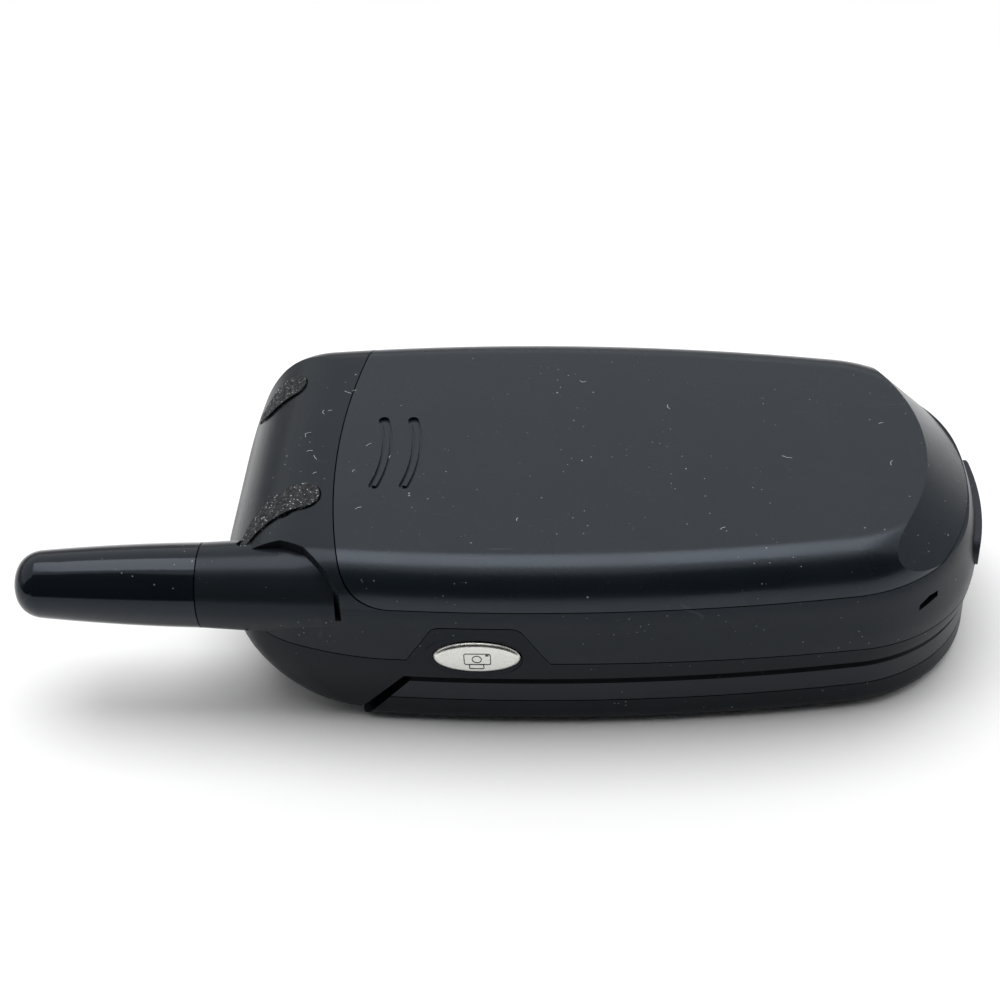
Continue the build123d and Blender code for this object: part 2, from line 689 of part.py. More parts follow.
def battery_tray():
    """Shallow tray under the cell, with four hooks that lock under the bay's ledges."""
    x_span = tray_span()
    half = tray_half_width()
    middle = sum(x_span) / 2
    z_span = (TRAY_BOTTOM_Z, PACK_BOTTOM_Z)
    shape = rounded_block(middle, 0, x_span[1] - x_span[0], 2 * half, 1.5, z_span)
    for x in HOOK_XS:
        reach = half + HOOK_REACH
        shape += block((x, x + HOOK_LENGTH), (-reach, reach), (HOOK_Z, HOOK_Z + 0.8))
    shape -= cell_room(0.1)
    for y in contact_ys():
        shape -= block((CONTACT_X, CONTACT_X + CONTACT_LENGTH), (y - 0.8, y + 0.8), (0, CELL_Z))
    return shape


def contact_ys():
    """Centres of the four battery contacts on Y."""
    pitch = CONTACT_WIDTH / 4
    return [pitch * (index - 1.5) for index in range(4)]


def battery_contacts():
    """Four gilded strips let into the tray's floor."""
    pads = []
    for y in contact_ys():
        x_span = (CONTACT_X, CONTACT_X + CONTACT_LENGTH)
        pads.append(block(x_span, (y - 0.8, y + 0.8), (TRAY_BOTTOM_Z + 0.1, CELL_Z)))
    return Compound(pads)


# ================================================================== keys
def key_places():
    """Name, outline and centre of every key on the front face."""
    places = {}
    names = ("one", "two", "three", "four", "five", "six", "seven", "eight", "nine",
             "star", "zero", "hash")
    number = RectangleRounded(NUMBER_KEY_LENGTH, NUMBER_KEY_WIDTH, KEY_CORNER)
    small = RectangleRounded(SMALL_KEY_LENGTH, SMALL_KEY_WIDTH, KEY_CORNER)
    for index, name in enumerate(names):
        row, column = divmod(index, 3)
        x = NUMBER_ROW_X + row * NUMBER_ROW_PITCH
        places["key_" + name] = Pos(x, (1 - column) * NUMBER_COLUMN_PITCH) * number
    places["soft_key_left"] = Pos(SOFT_KEY_X, SIDE_COLUMN_Y) * small
    places["soft_key_right"] = Pos(SOFT_KEY_X, -SIDE_COLUMN_Y) * small
    places["send_key"] = Pos(CALL_KEY_X, SIDE_COLUMN_Y) * small
    places["end_key"] = Pos(CALL_KEY_X, -SIDE_COLUMN_Y) * small
    places["clear_key"] = Pos(CLEAR_KEY_X, 0) * RectangleRounded(SMALL_KEY_LENGTH - 0.6, 8.6, KEY_CORNER)
    places["ok_key"] = Pos(NAV_X, 0) * Circle(OK_RADIUS)
    places["nav_ring"] = Pos(NAV_X, 0) * (Circle(NAV_RADIUS) - Circle(OK_RADIUS + KEY_GAP))
    return places


def key_holes():
    """Holes through the keypad plate, one for each key."""
    holes = []
    for name, outline in key_places().items():
        if name not in ("ok_key", "nav_ring"):
            holes.append(upright(offset(outline, KEY_GAP), (0, FRONT_INSIDE_Z + 0.1)))
    holes.append(rod_z(NAV_RADIUS + KEY_GAP, NAV_X, 0, (0, FRONT_INSIDE_Z + 0.1)))
    return holes


def front_key(name):
    """Key cap with a retaining flange inside the plate and a plunger over its dome."""
    outline = key_places()[name]
    cap = upright(outline, (FRONT_FACE_Z - KEY_PROUD, FRONT_INSIDE_Z + 0.1))
    cap = chamfer(cap.faces().sort_by(Axis.Z)[0].outer_wire().edges(), KEY_EDGE)
    flange_span = (FRONT_INSIDE_Z + 0.03, FRONT_INSIDE_Z + KEY_FLANGE_THICK)
    plunger_top = DOME_Z - KEY_TRAVEL - 0.05
    centre = outline.center()
    if name == "nav_ring":
        flange = Pos(NAV_X, 0) * (Circle(NAV_RADIUS + KEY_FLANGE + KEY_GAP) - Circle(OK_RADIUS + 0.9))
        middle = (NAV_RADIUS + OK_RADIUS) / 2 + 0.6
        spots = [(NAV_X + middle, 0), (NAV_X - middle, 0), (NAV_X, middle), (NAV_X, -middle)]
    elif name == "ok_key":
        flange = outline
        spots = [(NAV_X, 0)]
    else:
        flange = offset(outline, KEY_FLANGE + KEY_GAP)
        spots = [(centre.X, centre.Y)]
    key = cap + upright(flange, flange_span)
    for x, y in spots:
        key += rod_z(PLUNGER_RADIUS, x, y, (FRONT_INSIDE_Z + 0.1, plunger_top))
    return key


def keypad_dome_sheet():
    """Thin sheet of snap domes on the keypad side of the main board."""
    width = 2 * (SIDE_COLUMN_Y + 2)
    x_span = (SOFT_KEY_X - 3, NUMBER_ROW_X + 3 * NUMBER_ROW_PITCH + 2)
    middle = sum(x_span) / 2
    return rounded_block(middle, 0, x_span[1] - x_span[0], width, 2.0, (DOME_Z, BOARD_Z))


# ================================================================== side keys
def side_slot(x, length, height, grow=0.0):
    """Long round-ended outline of a side key, in side view."""
    return Pos(x, CAMERA_KEY_Z) * SlotOverall(length + 2 * grow, height + 2 * grow)


def side_key_holes():
    camera = side_slot(CAMERA_KEY_X, CAMERA_KEY_LENGTH, CAMERA_KEY_HEIGHT, SIDE_KEY_GAP)
    volume = side_slot(VOLUME_X, VOLUME_LENGTH, VOLUME_HEIGHT, SIDE_KEY_GAP)
    return sideways(camera, (-BODY_WIDTH, 0)) + sideways(volume, (0, BODY_WIDTH))


def side_key(x, length, height, flange_reach):
    """Side key drawn on the near side: domed cap, and a flange behind the curved wall."""
    reach = length / 2 + SIDE_FLANGE
    wall_in = min(side_wall_y(x - reach), side_wall_y(x + reach)) - WALL - SIDE_FLANGE_GAP
    out = side_wall_y(x) + SIDE_KEY_PROUD
    cap = sideways(side_slot(x, length, height), (-out, -wall_in))
    cap = fillet(cap.faces().sort_by(Axis.Y)[0].edges(), SIDE_KEY_EDGE)
    flange = sideways(side_slot(x, length, height, SIDE_FLANGE), (-wall_in, SIDE_FLANGE_THICK - wall_in))
    clear = (FRONT_INSIDE_Z + FLANGE_CLEARANCE, CEILING_Z - FLANGE_CLEARANCE)
    return cap + (flange & block((x - flange_reach, x + flange_reach), (-BODY_WIDTH, 0), clear))


def camera_key():
    key = side_key(CAMERA_KEY_X, CAMERA_KEY_LENGTH, CAMERA_KEY_HEIGHT, CAMERA_KEY_LENGTH)
    return key + rod_y(SIDE_PLUNGER, CAMERA_KEY_X, (1 - HALF_WIDTH, -plunger_end()), switch_z())


def volume_rocker():
    """Rocking key whose short flange at the middle lets both ends tip inwards."""
    key = side_key(VOLUME_X, VOLUME_LENGTH, VOLUME_HEIGHT, VOLUME_FLANGE_REACH)
    for x in volume_switch_xs():
        key += rod_y(SIDE_PLUNGER, x, (1 - HALF_WIDTH, -plunger_end()), switch_z())
    return mirror(key, Plane.XZ)


def plunger_end():
    """Distance from the middle plane to the tip of a side key's plunger."""
    return switch_face() + SIDE_KEY_TRAVEL + 0.05


def switch_face():
    """Distance from the middle plane to the outer face of a side switch."""
    return HALF_WIDTH - WALL - 2.2


def switch_z():
    return BOARD_TOP_Z + SWITCH_SIZE / 2


def volume_switch_xs():
    return (VOLUME_X - VOLUME_LENGTH / 3, VOLUME_X + VOLUME_LENGTH / 3)


def side_switches():
    """Three tact switches on the edge of the main board."""
    half = SWITCH_SIZE / 2
    z_span = (BOARD_TOP_Z, BOARD_TOP_Z + SWITCH_SIZE)
    near = (-switch_face(), -switch_face() + SWITCH_SIZE)
    far = (switch_face() - SWITCH_SIZE, switch_face())
    places = [(CAMERA_KEY_X, near)] + [(x, far) for x in volume_switch_xs()]
    return Compound([block((x - half, x + half), y_span, z_span) for x, y_span in places])


# ================================================================== electronics of the body
def main_board():
    shape = upright(inner_plan(BOARD_MARGIN), (BOARD_Z, BOARD_TOP_Z))
    shape &= block((CAVITY_START_X + 0.5, FOOT_X), (-BODY_WIDTH, BODY_WIDTH), (0, BODY_HEIGHT))
    for side in (-1, 1):
        shape -= rod_z(BOSS_RADIUS + FIT_GAP, FOOT_SCREW[0], side * FOOT_SCREW[1], (0, BODY_HEIGHT))
    return shape - side_key_notches()


def side_key_notches():
    """Notches in the board's edge that give the side keys' flanges room to move in."""
    edge = switch_face() + FIT_GAP
    camera_reach = CAMERA_KEY_LENGTH / 2 + SIDE_FLANGE + FIT_GAP
    volume_reach = VOLUME_FLANGE_REACH + FIT_GAP
    z_span = (0, BODY_HEIGHT)
    camera = block((CAMERA_KEY_X - camera_reach, CAMERA_KEY_X + camera_reach), (-BODY_WIDTH, -edge), z_span)
    return camera + block((VOLUME_X - volume_reach, VOLUME_X + volume_reach), (edge, BODY_WIDTH), z_span)


def shield_can():
    """Folded steel can over the radio parts."""
    x = SHIELD_X + SHIELD_LENGTH / 2
    top = BOARD_TOP_Z + SHIELD_HEIGHT
    can = rounded_block(x, 0, SHIELD_LENGTH, SHIELD_WIDTH, 1.0, (BOARD_TOP_Z, top))
    inside = (BOARD_TOP_Z, top - SHEET)
    return can - rounded_block(x, 0, SHIELD_LENGTH - 2 * SHEET, SHIELD_WIDTH - 2 * SHEET, 0.7, inside)


def battery_connector():
    """Block of four spring contacts that reaches through the bay floor."""
    x_span = (CONTACT_X, CONTACT_X + CONTACT_LENGTH)
    half = CONTACT_WIDTH / 2
    shape = block(x_span, (-half, half), (BOARD_TOP_Z, BAY_FLOOR_Z - 0.3))
    for y in contact_ys():
        shape += block((CONTACT_X + 1, CONTACT_X + 3), (y - 0.5, y + 0.5), (BOARD_TOP_Z, TRAY_BOTTOM_Z))
    return shape


def io_connector():
    """Charging and data socket on the board behind the flap."""
    x_end = FOOT_X - FLAP_THICK - PORT_BACK
    half = PORT_WIDTH / 2
    shape = block((x_end - PORT_DEPTH, x_end), (-half, half), (BOARD_TOP_Z, PORT_Z + PORT_HEIGHT / 2))
    mouth = (PORT_Z - PORT_HEIGHT / 2 + 0.4, PORT_Z + PORT_HEIGHT / 2 - 0.4)
    return shape - block((x_end - PORT_DEPTH + 1, x_end + 1), (-half + 0.5, half - 0.5), mouth)


def io_cover():
    """Rubber flap that follows the curve of the foot and closes the charging port."""
    outline = Pos(0, PORT_Z) * SlotOverall(FLAP_WIDTH, FLAP_HEIGHT)
    shape = extrude(Plane.YZ * outline, FOOT_X + BEYOND)
    shape &= upright(foot_disc(FLAP_PROUD), (0, BODY_HEIGHT))
    return shape - upright(foot_disc(-FLAP_THICK), (0, BODY_HEIGHT))


def headset_jack():
    half = JACK_BODY / 2
    y_end = side_wall_y(JACK_X + half) - WALL - 0.2
    shape = block((JACK_X - half, JACK_X + half), (y_end - JACK_LENGTH, y_end), (BOARD_TOP_Z, BOARD_TOP_Z + JACK_BODY))
    return shape - rod_y(JACK_RADIUS, JACK_X, (y_end - JACK_LENGTH + 1, y_end + 1), JACK_Z)


def microphone():
    return rod_z(MIC_RADIUS, MIC_X, 0, (FRONT_INSIDE_Z, BOARD_Z))


def vibration_motor():
    """Can motor with a half-round weight on its shaft."""
    z = BOARD_TOP_Z + MOTOR_RADIUS
    end = MOTOR_X + MOTOR_LENGTH
    shape = rod_x(MOTOR_RADIUS, (MOTOR_X - 4, MOTOR_X + 3), MOTOR_Y, z)
    shape += rod_x(0.4, (MOTOR_X + 3, end - 4), MOTOR_Y, z)
    weight = rod_x(MOTOR_RADIUS, (MOTOR_X + 3.6, end - 4), MOTOR_Y, z)
    return shape + (weight & block((MOTOR_X, end), (MOTOR_Y - 2, MOTOR_Y + 2), (z, z + 2)))


# ================================================================== lid
def lid_form():
    """Outside of the lid: inset plan, rolled lower edge, wings cut back from the shoulders."""
    outline = plan(LID_INSET, LID_INSET, LID_INSET)
    shape = upright(outline, (0, LID_THICKNESS))
    shape = fillet(shape.faces().sort_by(Axis.Z)[0].edges(), LID_EDGE_RADIUS)
    shape = chamfer(shape.faces().sort_by(Axis.Z)[-1].edges(), 0.4)
    run = LID_THICKNESS / math.tan(math.radians(WING_SLOPE_DEG))
    gap = WING_GAP / math.sin(math.radians(WING_SLOPE_DEG))
    left = HINGE_END_X - BEYOND
    wing = make_face(Polyline(
        (left, -LID_THICKNESS), (WING_FOOT_X + gap - run, -LID_THICKNESS),
        (WING_FOOT_X + gap + run, LID_THICKNESS), (WING_FOOT_X + gap + 2 * run, 2 * LID_THICKNESS),
        (left, 2 * LID_THICKNESS), close=True,
    ))
    for y_span in ((-BODY_WIDTH, -KNUCKLE_HALF), (KNUCKLE_HALF, BODY_WIDTH)):
        shape -= sideways(wing, y_span)
    shape -= block((left, HINGE_X), (-BODY_WIDTH, BODY_WIDTH), (-1, LID_THICKNESS + 1))
    return shape + knuckle()


def knuckle():
    return rod_y(KNUCKLE_RADIUS, HINGE_X, (-KNUCKLE_HALF, KNUCKLE_HALF), HINGE_Z)


def outer_zone():
    """The outer shell's share of the lid: below the split, and clear of the knuckle."""
    zone = block((HINGE_X, FOOT_X), (-BODY_WIDTH, BODY_WIDTH), (-1, LID_SPLIT_Z))
    return zone - rod_y(KNUCKLE_RADIUS + SEAM, HINGE_X, (-BODY_WIDTH, BODY_WIDTH), HINGE_Z)


def lid_cavity(z_span):
    room = upright(plan(LID_INSET + LID_WALL, LID_INSET + LID_WALL, LID_INSET + LID_WALL), z_span)
    return room & block((LID_CAVITY_X, FOOT_X), (-BODY_WIDTH, BODY_WIDTH), z_span)


def window_seat(x, length, width, z_span, through):
    """Rebate for a window with a smaller opening behind it."""
    seat = rounded_block(x, 0, length + 2 * SEAM, width + 2 * SEAM, WINDOW_CORNER, z_span)
    small = (length - 2 * WINDOW_REBATE, width - 2 * WINDOW_REBATE)
    return seat + rounded_block(x, 0, *small, WINDOW_CORNER / 2, through)


def lid_outer_shell():
    shape = lid_form() & outer_zone()
    shape -= lid_cavity((LID_PLATE, LID_SPLIT_Z + 1))
    floor = WINDOW_SET_BACK + WINDOW_THICK
    shape -= window_seat(
        OUTER_WINDOW_X, OUTER_WINDOW_LENGTH, OUTER_WINDOW_WIDTH, (-1, floor), (-1, LID_PLATE + 0.1)
    )
    shape -= rod_z(LENS_RADIUS + SEAM, LENS_X, 0, (-1, WINDOW_SET_BACK + LENS_THICK))
    shape -= rod_z(LENS_RADIUS - 0.8, LENS_X, 0, (-1, LID_PLATE + 0.1))
    shape += lid_screw_posts()
    return shape - lid_screw_holes()


def lid_screw_spots():
    return [(BUMPER_X, side * BUMPER_Y) for side in (-1, 1)] + [
        (LID_SCREW_X, side * LID_SCREW_Y) for side in (-1, 1)
    ]


def lid_screw_top(x):
    """Head height: under a bumper at the tip, just below the face near the hinge."""
    return LID_THICKNESS - BUMPER_SEAT - 0.05 if x == BUMPER_X else LID_THICKNESS - 0.1


def lid_screw_posts():
    """Posts on the outer shell that the lid screws bite into."""
    posts = Part()
    for x, y in lid_screw_spots()[:2]:
        posts += rod_z(BOSS_RADIUS, x, y, (LID_PLATE - 0.1, LID_SPLIT_Z))
    return posts


def lid_screw_holes():
    holes = []
    for x, y in lid_screw_spots():
        top = lid_screw_top(x)
        holes.append(rod_z(SCREW_RADIUS + RUNNING_FIT, x, y, (LID_PLATE + 0.5, top)))
        head = (top - SCREW_HEAD_HEIGHT, LID_THICKNESS + 1)
        holes.append(rod_z(SCREW_HEAD_RADIUS + RUNNING_FIT, x, y, head))
    return holes


def lid_screws():
    screws = []
    for x, y in lid_screw_spots():
        screws.append(screw(x, y, lid_screw_top(x), LID_PLATE + 0.6))
    return Compound(screws)


def lid_inner_shell():
    plate_z = LID_THICKNESS - LID_PLATE
    zone = block((LID_CAVITY_X - BODY_LENGTH, FOOT_X), (-BODY_WIDTH, BODY_WIDTH), (LID_SPLIT_Z + SEAM, BEYOND))
    shape = (lid_form() & zone) + knuckle()
    shape -= lid_cavity((LID_SPLIT_Z - 1, plate_z))
    floor = LID_THICKNESS - WINDOW_SET_BACK - WINDOW_THICK
    shape -= window_seat(
        MAIN_WINDOW_X, MAIN_WINDOW_LENGTH, MAIN_WINDOW_WIDTH,
        (floor, LID_THICKNESS + 1), (plate_z - 0.1, LID_THICKNESS + 1),
    )
    for offset_x in (-1.6, 0, 1.6):
        slot = (EARPIECE_X + offset_x - EARPIECE_SLOT_WIDTH / 2, EARPIECE_X + offset_x + EARPIECE_SLOT_WIDTH / 2)
        shape -= block(slot, (-EARPIECE_SLOT / 2, EARPIECE_SLOT / 2), (plate_z - 1, LID_THICKNESS + 1))
    shape += lid_upper_posts(plate_z)
    for side in (-1, 1):
        seat = (LID_THICKNESS - BUMPER_SEAT, LID_THICKNESS + 1)
        shape -= rod_z(BUMPER_RADIUS + 0.1, BUMPER_X, side * BUMPER_Y, seat)
    shape -= lid_screw_holes()
    for bore in knuckle_bores():
        shape -= bore
    return shape


def lid_upper_posts(plate_z):
    """Posts under the inner plate that meet the outer shell's posts."""
    posts = Part()
    for x, y in lid_screw_spots()[:2]:
        posts += rod_z(BOSS_RADIUS, x, y, (LID_SPLIT_Z + SEAM, plate_z + 0.1))
    return posts


def knuckle_bores():
    """Bores for the spring can and the bush, and the slot that leads the cable into the lid."""
    can = rod_y(HINGE_BORE_RADIUS, HINGE_X, (-BEYOND, can_end()), HINGE_Z)
    bush = rod_y(HINGE_BORE_RADIUS, HINGE_X, (can_end() + 2, BEYOND), HINGE_Z)
    slot = block(
        (HINGE_X, LID_CAVITY_X + 1), (flex_start(), bush_span()[0] - 0.4),
        (HINGE_Z - 0.5, HINGE_Z + 0.5),
    )
    return can, bush, slot


def can_end():
    """Inner end of the spring can on Y."""
    return -1.0


def flex_start():
    return can_end() + 2.2


def hinge_spring_can():
    """Cam-and-spring cartridge pressed into the lid's knuckle, bored for the cam pin."""
    outer = rod_y(HINGE_BORE_RADIUS, HINGE_X, (-KNUCKLE_HALF, can_end()), HINGE_Z)
    bore = (-SHOULDER_Y - 1, -SHOULDER_Y + HINGE_PIN_LENGTH + 0.3)
    return outer - rod_y(HINGE_PIN_RADIUS + RUNNING_FIT, HINGE_X, bore, HINGE_Z)


def hinge_cam_pin():
    """Pin with a flatted head keyed into the near shoulder."""
    head_span = (-SHOULDER_Y - HINGE_HEAD_LENGTH, -SHOULDER_Y)
    head = rod_y(HINGE_BORE_RADIUS - 0.4, HINGE_X, head_span, HINGE_Z)
    pin = rod_y(HINGE_PIN_RADIUS, HINGE_X, (-SHOULDER_Y - 1, -SHOULDER_Y + HINGE_PIN_LENGTH), HINGE_Z)
    return head + pin


def hinge_bush():
    """Hollow pivot on the far side that the lid turns on and the cable runs through."""
    radius = HINGE_BORE_RADIUS - RUNNING_FIT
    tube = rod_y(radius, HINGE_X, bush_span(), HINGE_Z)
    return tube - rod_y(radius - BUSH_WALL, HINGE_X, bush_span(), HINGE_Z)


def flex_cable():
    """Flexible circuit rolled up in the bush, its tail led flat into the lid."""
    roll_span = (flex_start() + 0.1, bush_span()[1] + 2)
    roll = rod_y(FLEX_ROLL_RADIUS, HINGE_X, roll_span, HINGE_Z)
    roll -= rod_y(FLEX_ROLL_RADIUS - FLEX_THICK, HINGE_X, roll_span, HINGE_Z)
    tail_x = (HINGE_X + FLEX_ROLL_RADIUS - 0.15, LID_CAVITY_X)
    tail_y = (flex_start() + 0.1, bush_span()[0] - 0.5)
    return roll + block(tail_x, tail_y, (HINGE_Z - FLEX_THICK / 2, HINGE_Z + FLEX_THICK / 2))


def main_window():
    top = LID_THICKNESS - WINDOW_SET_BACK
    z_span = (top - WINDOW_THICK, top)
    return rounded_block(MAIN_WINDOW_X, 0, MAIN_WINDOW_LENGTH, MAIN_WINDOW_WIDTH, WINDOW_CORNER, z_span)


def main_display():
    top = LID_THICKNESS - LID_PLATE
    z_span = (top - DISPLAY_THICK, top)
    return rounded_block(MAIN_WINDOW_X, 0, MAIN_WINDOW_LENGTH, MAIN_WINDOW_WIDTH + 2, 0.6, z_span)


def outer_window():
    z_span = (WINDOW_SET_BACK, WINDOW_SET_BACK + WINDOW_THICK)
    return rounded_block(OUTER_WINDOW_X, 0, OUTER_WINDOW_LENGTH, OUTER_WINDOW_WIDTH, WINDOW_CORNER, z_span)


def outer_display():
    z_span = (LID_PLATE, LID_PLATE + OUTER_DISPLAY_THICK)
    return rounded_block(OUTER_WINDOW_X, 0, OUTER_WINDOW_LENGTH, OUTER_WINDOW_WIDTH, 0.6, z_span)


def camera_window():
    return rod_z(LENS_RADIUS, LENS_X, 0, (WINDOW_SET_BACK, WINDOW_SET_BACK + LENS_THICK))


def camera_module():
    """Square camera body with its lens barrel towards the window."""
    half = CAMERA_BODY / 2
    shape = block((LENS_X - half, LENS_X + half), (-half, half), (LID_PLATE, LID_BOARD_Z))
    return shape + rod_z(LENS_RADIUS - 1.0, LENS_X, 0, (LENS_THICK + 0.2, LID_PLATE + 0.1))


def earpiece():
    top = LID_THICKNESS - LID_PLATE
    return rod_z(EARPIECE_RADIUS, EARPIECE_X, 0, (LID_BOARD_Z + LID_BOARD_THICK, top))


def lid_board():
    depth = LID_INSET + LID_WALL + LID_BOARD_MARGIN
    z_span = (LID_BOARD_Z, LID_BOARD_Z + LID_BOARD_THICK)
    shape = upright(plan(depth, depth, depth), z_span)
    shape &= block((LID_CAVITY_X + 0.5, FOOT_X), (-BODY_WIDTH, BODY_WIDTH), z_span)
    for x, y in lid_screw_spots():
        shape -= rod_z(BOSS_RADIUS + FIT_GAP, x, y, z_span)
    return shape


def lid_bumpers():
    """Two rubber buttons that keep the closed lid off the keypad face."""
    gap = FRONT_FACE_Z - LID_THICKNESS
    z_span = (LID_THICKNESS - BUMPER_SEAT, LID_THICKNESS + gap - FIT_GAP)
    return Compound([rod_z(BUMPER_RADIUS, BUMPER_X, side * BUMPER_Y, z_span) for side in (-1, 1)])


# ================================================================== output
def nodes():
    """Every piece of the phone by name."""
    pieces = {
        "rear_housing": rear_housing(), "front_housing": front_housing(),
        "housing_screws": housing_screws(),
        "grip_pad_near": grip_pad(near_pad_outline()), "grip_pad_far": grip_pad(far_pad_outline()),
        "antenna_cap": antenna_cap(), "antenna_ferrule": antenna_ferrule(),
        "antenna_coil": antenna_coil(),
        "battery_cover": battery_cover(), "battery_tray": battery_tray(),
        "battery_cell": cell_room(0), "battery_contacts": battery_contacts(),
        "keypad_dome_sheet": keypad_dome_sheet(), "camera_key": camera_key(),
        "volume_rocker": volume_rocker(), "side_switches": side_switches(),
        "main_board": main_board(), "shield_can": shield_can(),
        "battery_connector": battery_connector(), "io_connector": io_connector(),
        "io_cover": io_cover(), "headset_jack": headset_jack(),
        "microphone": microphone(), "vibration_motor": vibration_motor(),
        "lid_outer_shell": lid_outer_shell(), "lid_inner_shell": lid_inner_shell(),
        "lid_screws": lid_screws(), "lid_bumpers": lid_bumpers(), "lid_board": lid_board(),
        "main_window": main_window(), "main_display": main_display(),
        "outer_window": outer_window(), "outer_display": outer_display(),
        "camera_window": camera_window(), "camera_module": camera_module(),
        "earpiece": earpiece(), "hinge_spring_can": hinge_spring_can(),
        "hinge_cam_pin": hinge_cam_pin(), "hinge_bush": hinge_bush(),
        "flex_cable": flex_cable(),
    }
    for name in key_places():
        pieces[name] = front_key(name)
    return pieces


os.makedirs("parts", exist_ok=True)
for node_name, piece in nodes().items():
    export_step(piece, f"parts/{node_name}.step")
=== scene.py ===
"""Flip phone: finishes, printed signs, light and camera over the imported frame."""
import json
import math

import bpy
from mathutils import Matrix, Vector


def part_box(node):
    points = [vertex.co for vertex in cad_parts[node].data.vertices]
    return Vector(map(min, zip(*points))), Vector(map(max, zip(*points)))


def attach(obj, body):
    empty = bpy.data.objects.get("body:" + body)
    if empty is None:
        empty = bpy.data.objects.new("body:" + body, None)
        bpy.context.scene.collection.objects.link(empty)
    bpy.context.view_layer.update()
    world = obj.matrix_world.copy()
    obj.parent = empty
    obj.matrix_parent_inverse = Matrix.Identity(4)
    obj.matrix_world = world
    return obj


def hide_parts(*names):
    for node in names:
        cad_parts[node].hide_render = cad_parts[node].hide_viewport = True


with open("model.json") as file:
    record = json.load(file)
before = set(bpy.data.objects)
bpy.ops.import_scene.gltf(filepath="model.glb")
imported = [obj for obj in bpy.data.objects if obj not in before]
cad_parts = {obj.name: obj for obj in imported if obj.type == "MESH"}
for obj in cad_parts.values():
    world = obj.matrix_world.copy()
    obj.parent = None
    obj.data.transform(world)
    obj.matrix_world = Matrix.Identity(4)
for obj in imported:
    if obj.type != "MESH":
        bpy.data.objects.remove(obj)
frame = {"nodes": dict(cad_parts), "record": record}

bl_info = {
    "name": "Flip Phone",
    "version": (1, 0, 0),
    "blender": (4, 5, 0),
    "location": "View3D > Sidebar > Phone",
    "description": "Finishes, key signs, studio and camera for a closed flip phone",
    "category": "Mesh",
}

MM = 0.001
DOUBLES = 1e-7  # corners that lie closer than this are one
ROUND_STEPS = 6  # of a rounded corner or rim
DISC_CORNERS = 40
OVAL_CORNERS = 64

# faces of the phone: what points to the right and up on a piece that is laid on them
FLAT = ((1, 0, 0), (0, 1, 0))
ON_WALL = ((1, 0, 0), (0, 0, 1))
ON_KEYPAD = ((0, -1, 0), (-1, 0, 0))  # signs read with the hinge at the top

# colours of the pieces inside
STEEL = (0.56, 0.56, 0.57)
MOTOR_STEEL = (0.5, 0.5, 0.51)
BRASS = (0.78, 0.58, 0.26)
CELL_FOIL = (0.62, 0.63, 0.65)
TRAY_GREY = (0.03, 0.031, 0.035)
MODULE_BLACK = (0.016, 0.016, 0.018)
DOME_SILVER = (0.7, 0.7, 0.68)
FLEX_AMBER = (0.5, 0.26, 0.06)
SIGN_GREY = (0.03, 0.032, 0.036)
BOARD_GREEN = (0.012, 0.085, 0.035)
TRACK_GREEN = (0.03, 0.16, 0.07)
SOLDER = (0.55, 0.54, 0.5)
SMOKED = (0.36, 0.38, 0.42)
SMOKED_SCRATCH = (0.75, 0.76, 0.78)
SCREEN_LINE = (0.020, 0.025, 0.032)
SCREEN_CELL = (0.008, 0.010, 0.013)
SCREEN_HAZE = (0.03, 0.04, 0.05)

# gloss and dirt of the mouldings
COOL_TINT = (0.77, 0.86, 1.0, 1.0)  # of what the dark plastics reflect
SATIN_FADE = (-1.5 * MM, 0.5 * MM)  # over this height round the seam gloss turns satin
SATIN_ROUGHER = 0.14
COAT_ROUGHNESS = 0.08
DUST_COVER = 0.55
DUST_ROUGHER = 0.35
SCRATCH_COVER = 0.05

# grain of a moulding: scale of its noise, and height in millimetres
LACQUER_GRAIN = (1500.0, 0.004)
SATIN_GRAIN = (1900.0, 0.010)
ANTENNA_GRAIN = (1200.0, 0.004)
LID_GRAIN = (2600.0, 0.012)
CAP_GRAIN = (1800.0, 0.006)
ROCKER_GRAIN = (1800.0, 0.008)
TRAY_GRAIN = (2400.0, 0.03)
RUBBER_GRAIN = (2200.0, 0.02)

# camera key with its bezel and its sign
KEY_HEIGHT_ON_WALL = 12.1 * MM  # middle of the camera key over the table
KEY_SKIN = 0.03 * MM  # the oval key's face lies this much inside the CAD key's
KEY_DEPTH = 2.6 * MM
KEY_ROUND = 0.55 * MM
KEY_SMOOTH = math.radians(35)  # edges flatter than this are shaded smooth
BEZEL_SPREAD = (2.0 * MM, 2.2 * MM)  # how much longer and higher than the key
BEZEL_BORDER = 0.9 * MM
BEZEL_DEPTH = 0.5 * MM
BEZEL_SET_BACK = 0.95 * MM  # its back lies this much behind the key's face
SIGN_DEPTH = 0.02 * MM
SIGN_SHIFT = 0.06 * MM  # from the key's middle towards the foot
SIGN_SKIN = 0.022 * MM  # the sign's back lies this much inside the CAD key's face

# grip ribs
GROOVE_CRESTS = (-22.1 * MM, -25.7 * MM)  # foot side of each grip groove's arc, on X
GROOVE_MIDDLE = -1.1 * MM  # on Y
GROOVE_REACH = 5.9 * MM  # half the chord of a rib
GROOVE_ARC = 21.1 * MM  # radius of a groove
RIB_HEIGHT = 0.3 * MM
RIB_SUNK = 0.04 * MM  # under the battery cover's back
RIB_STEPS = 24

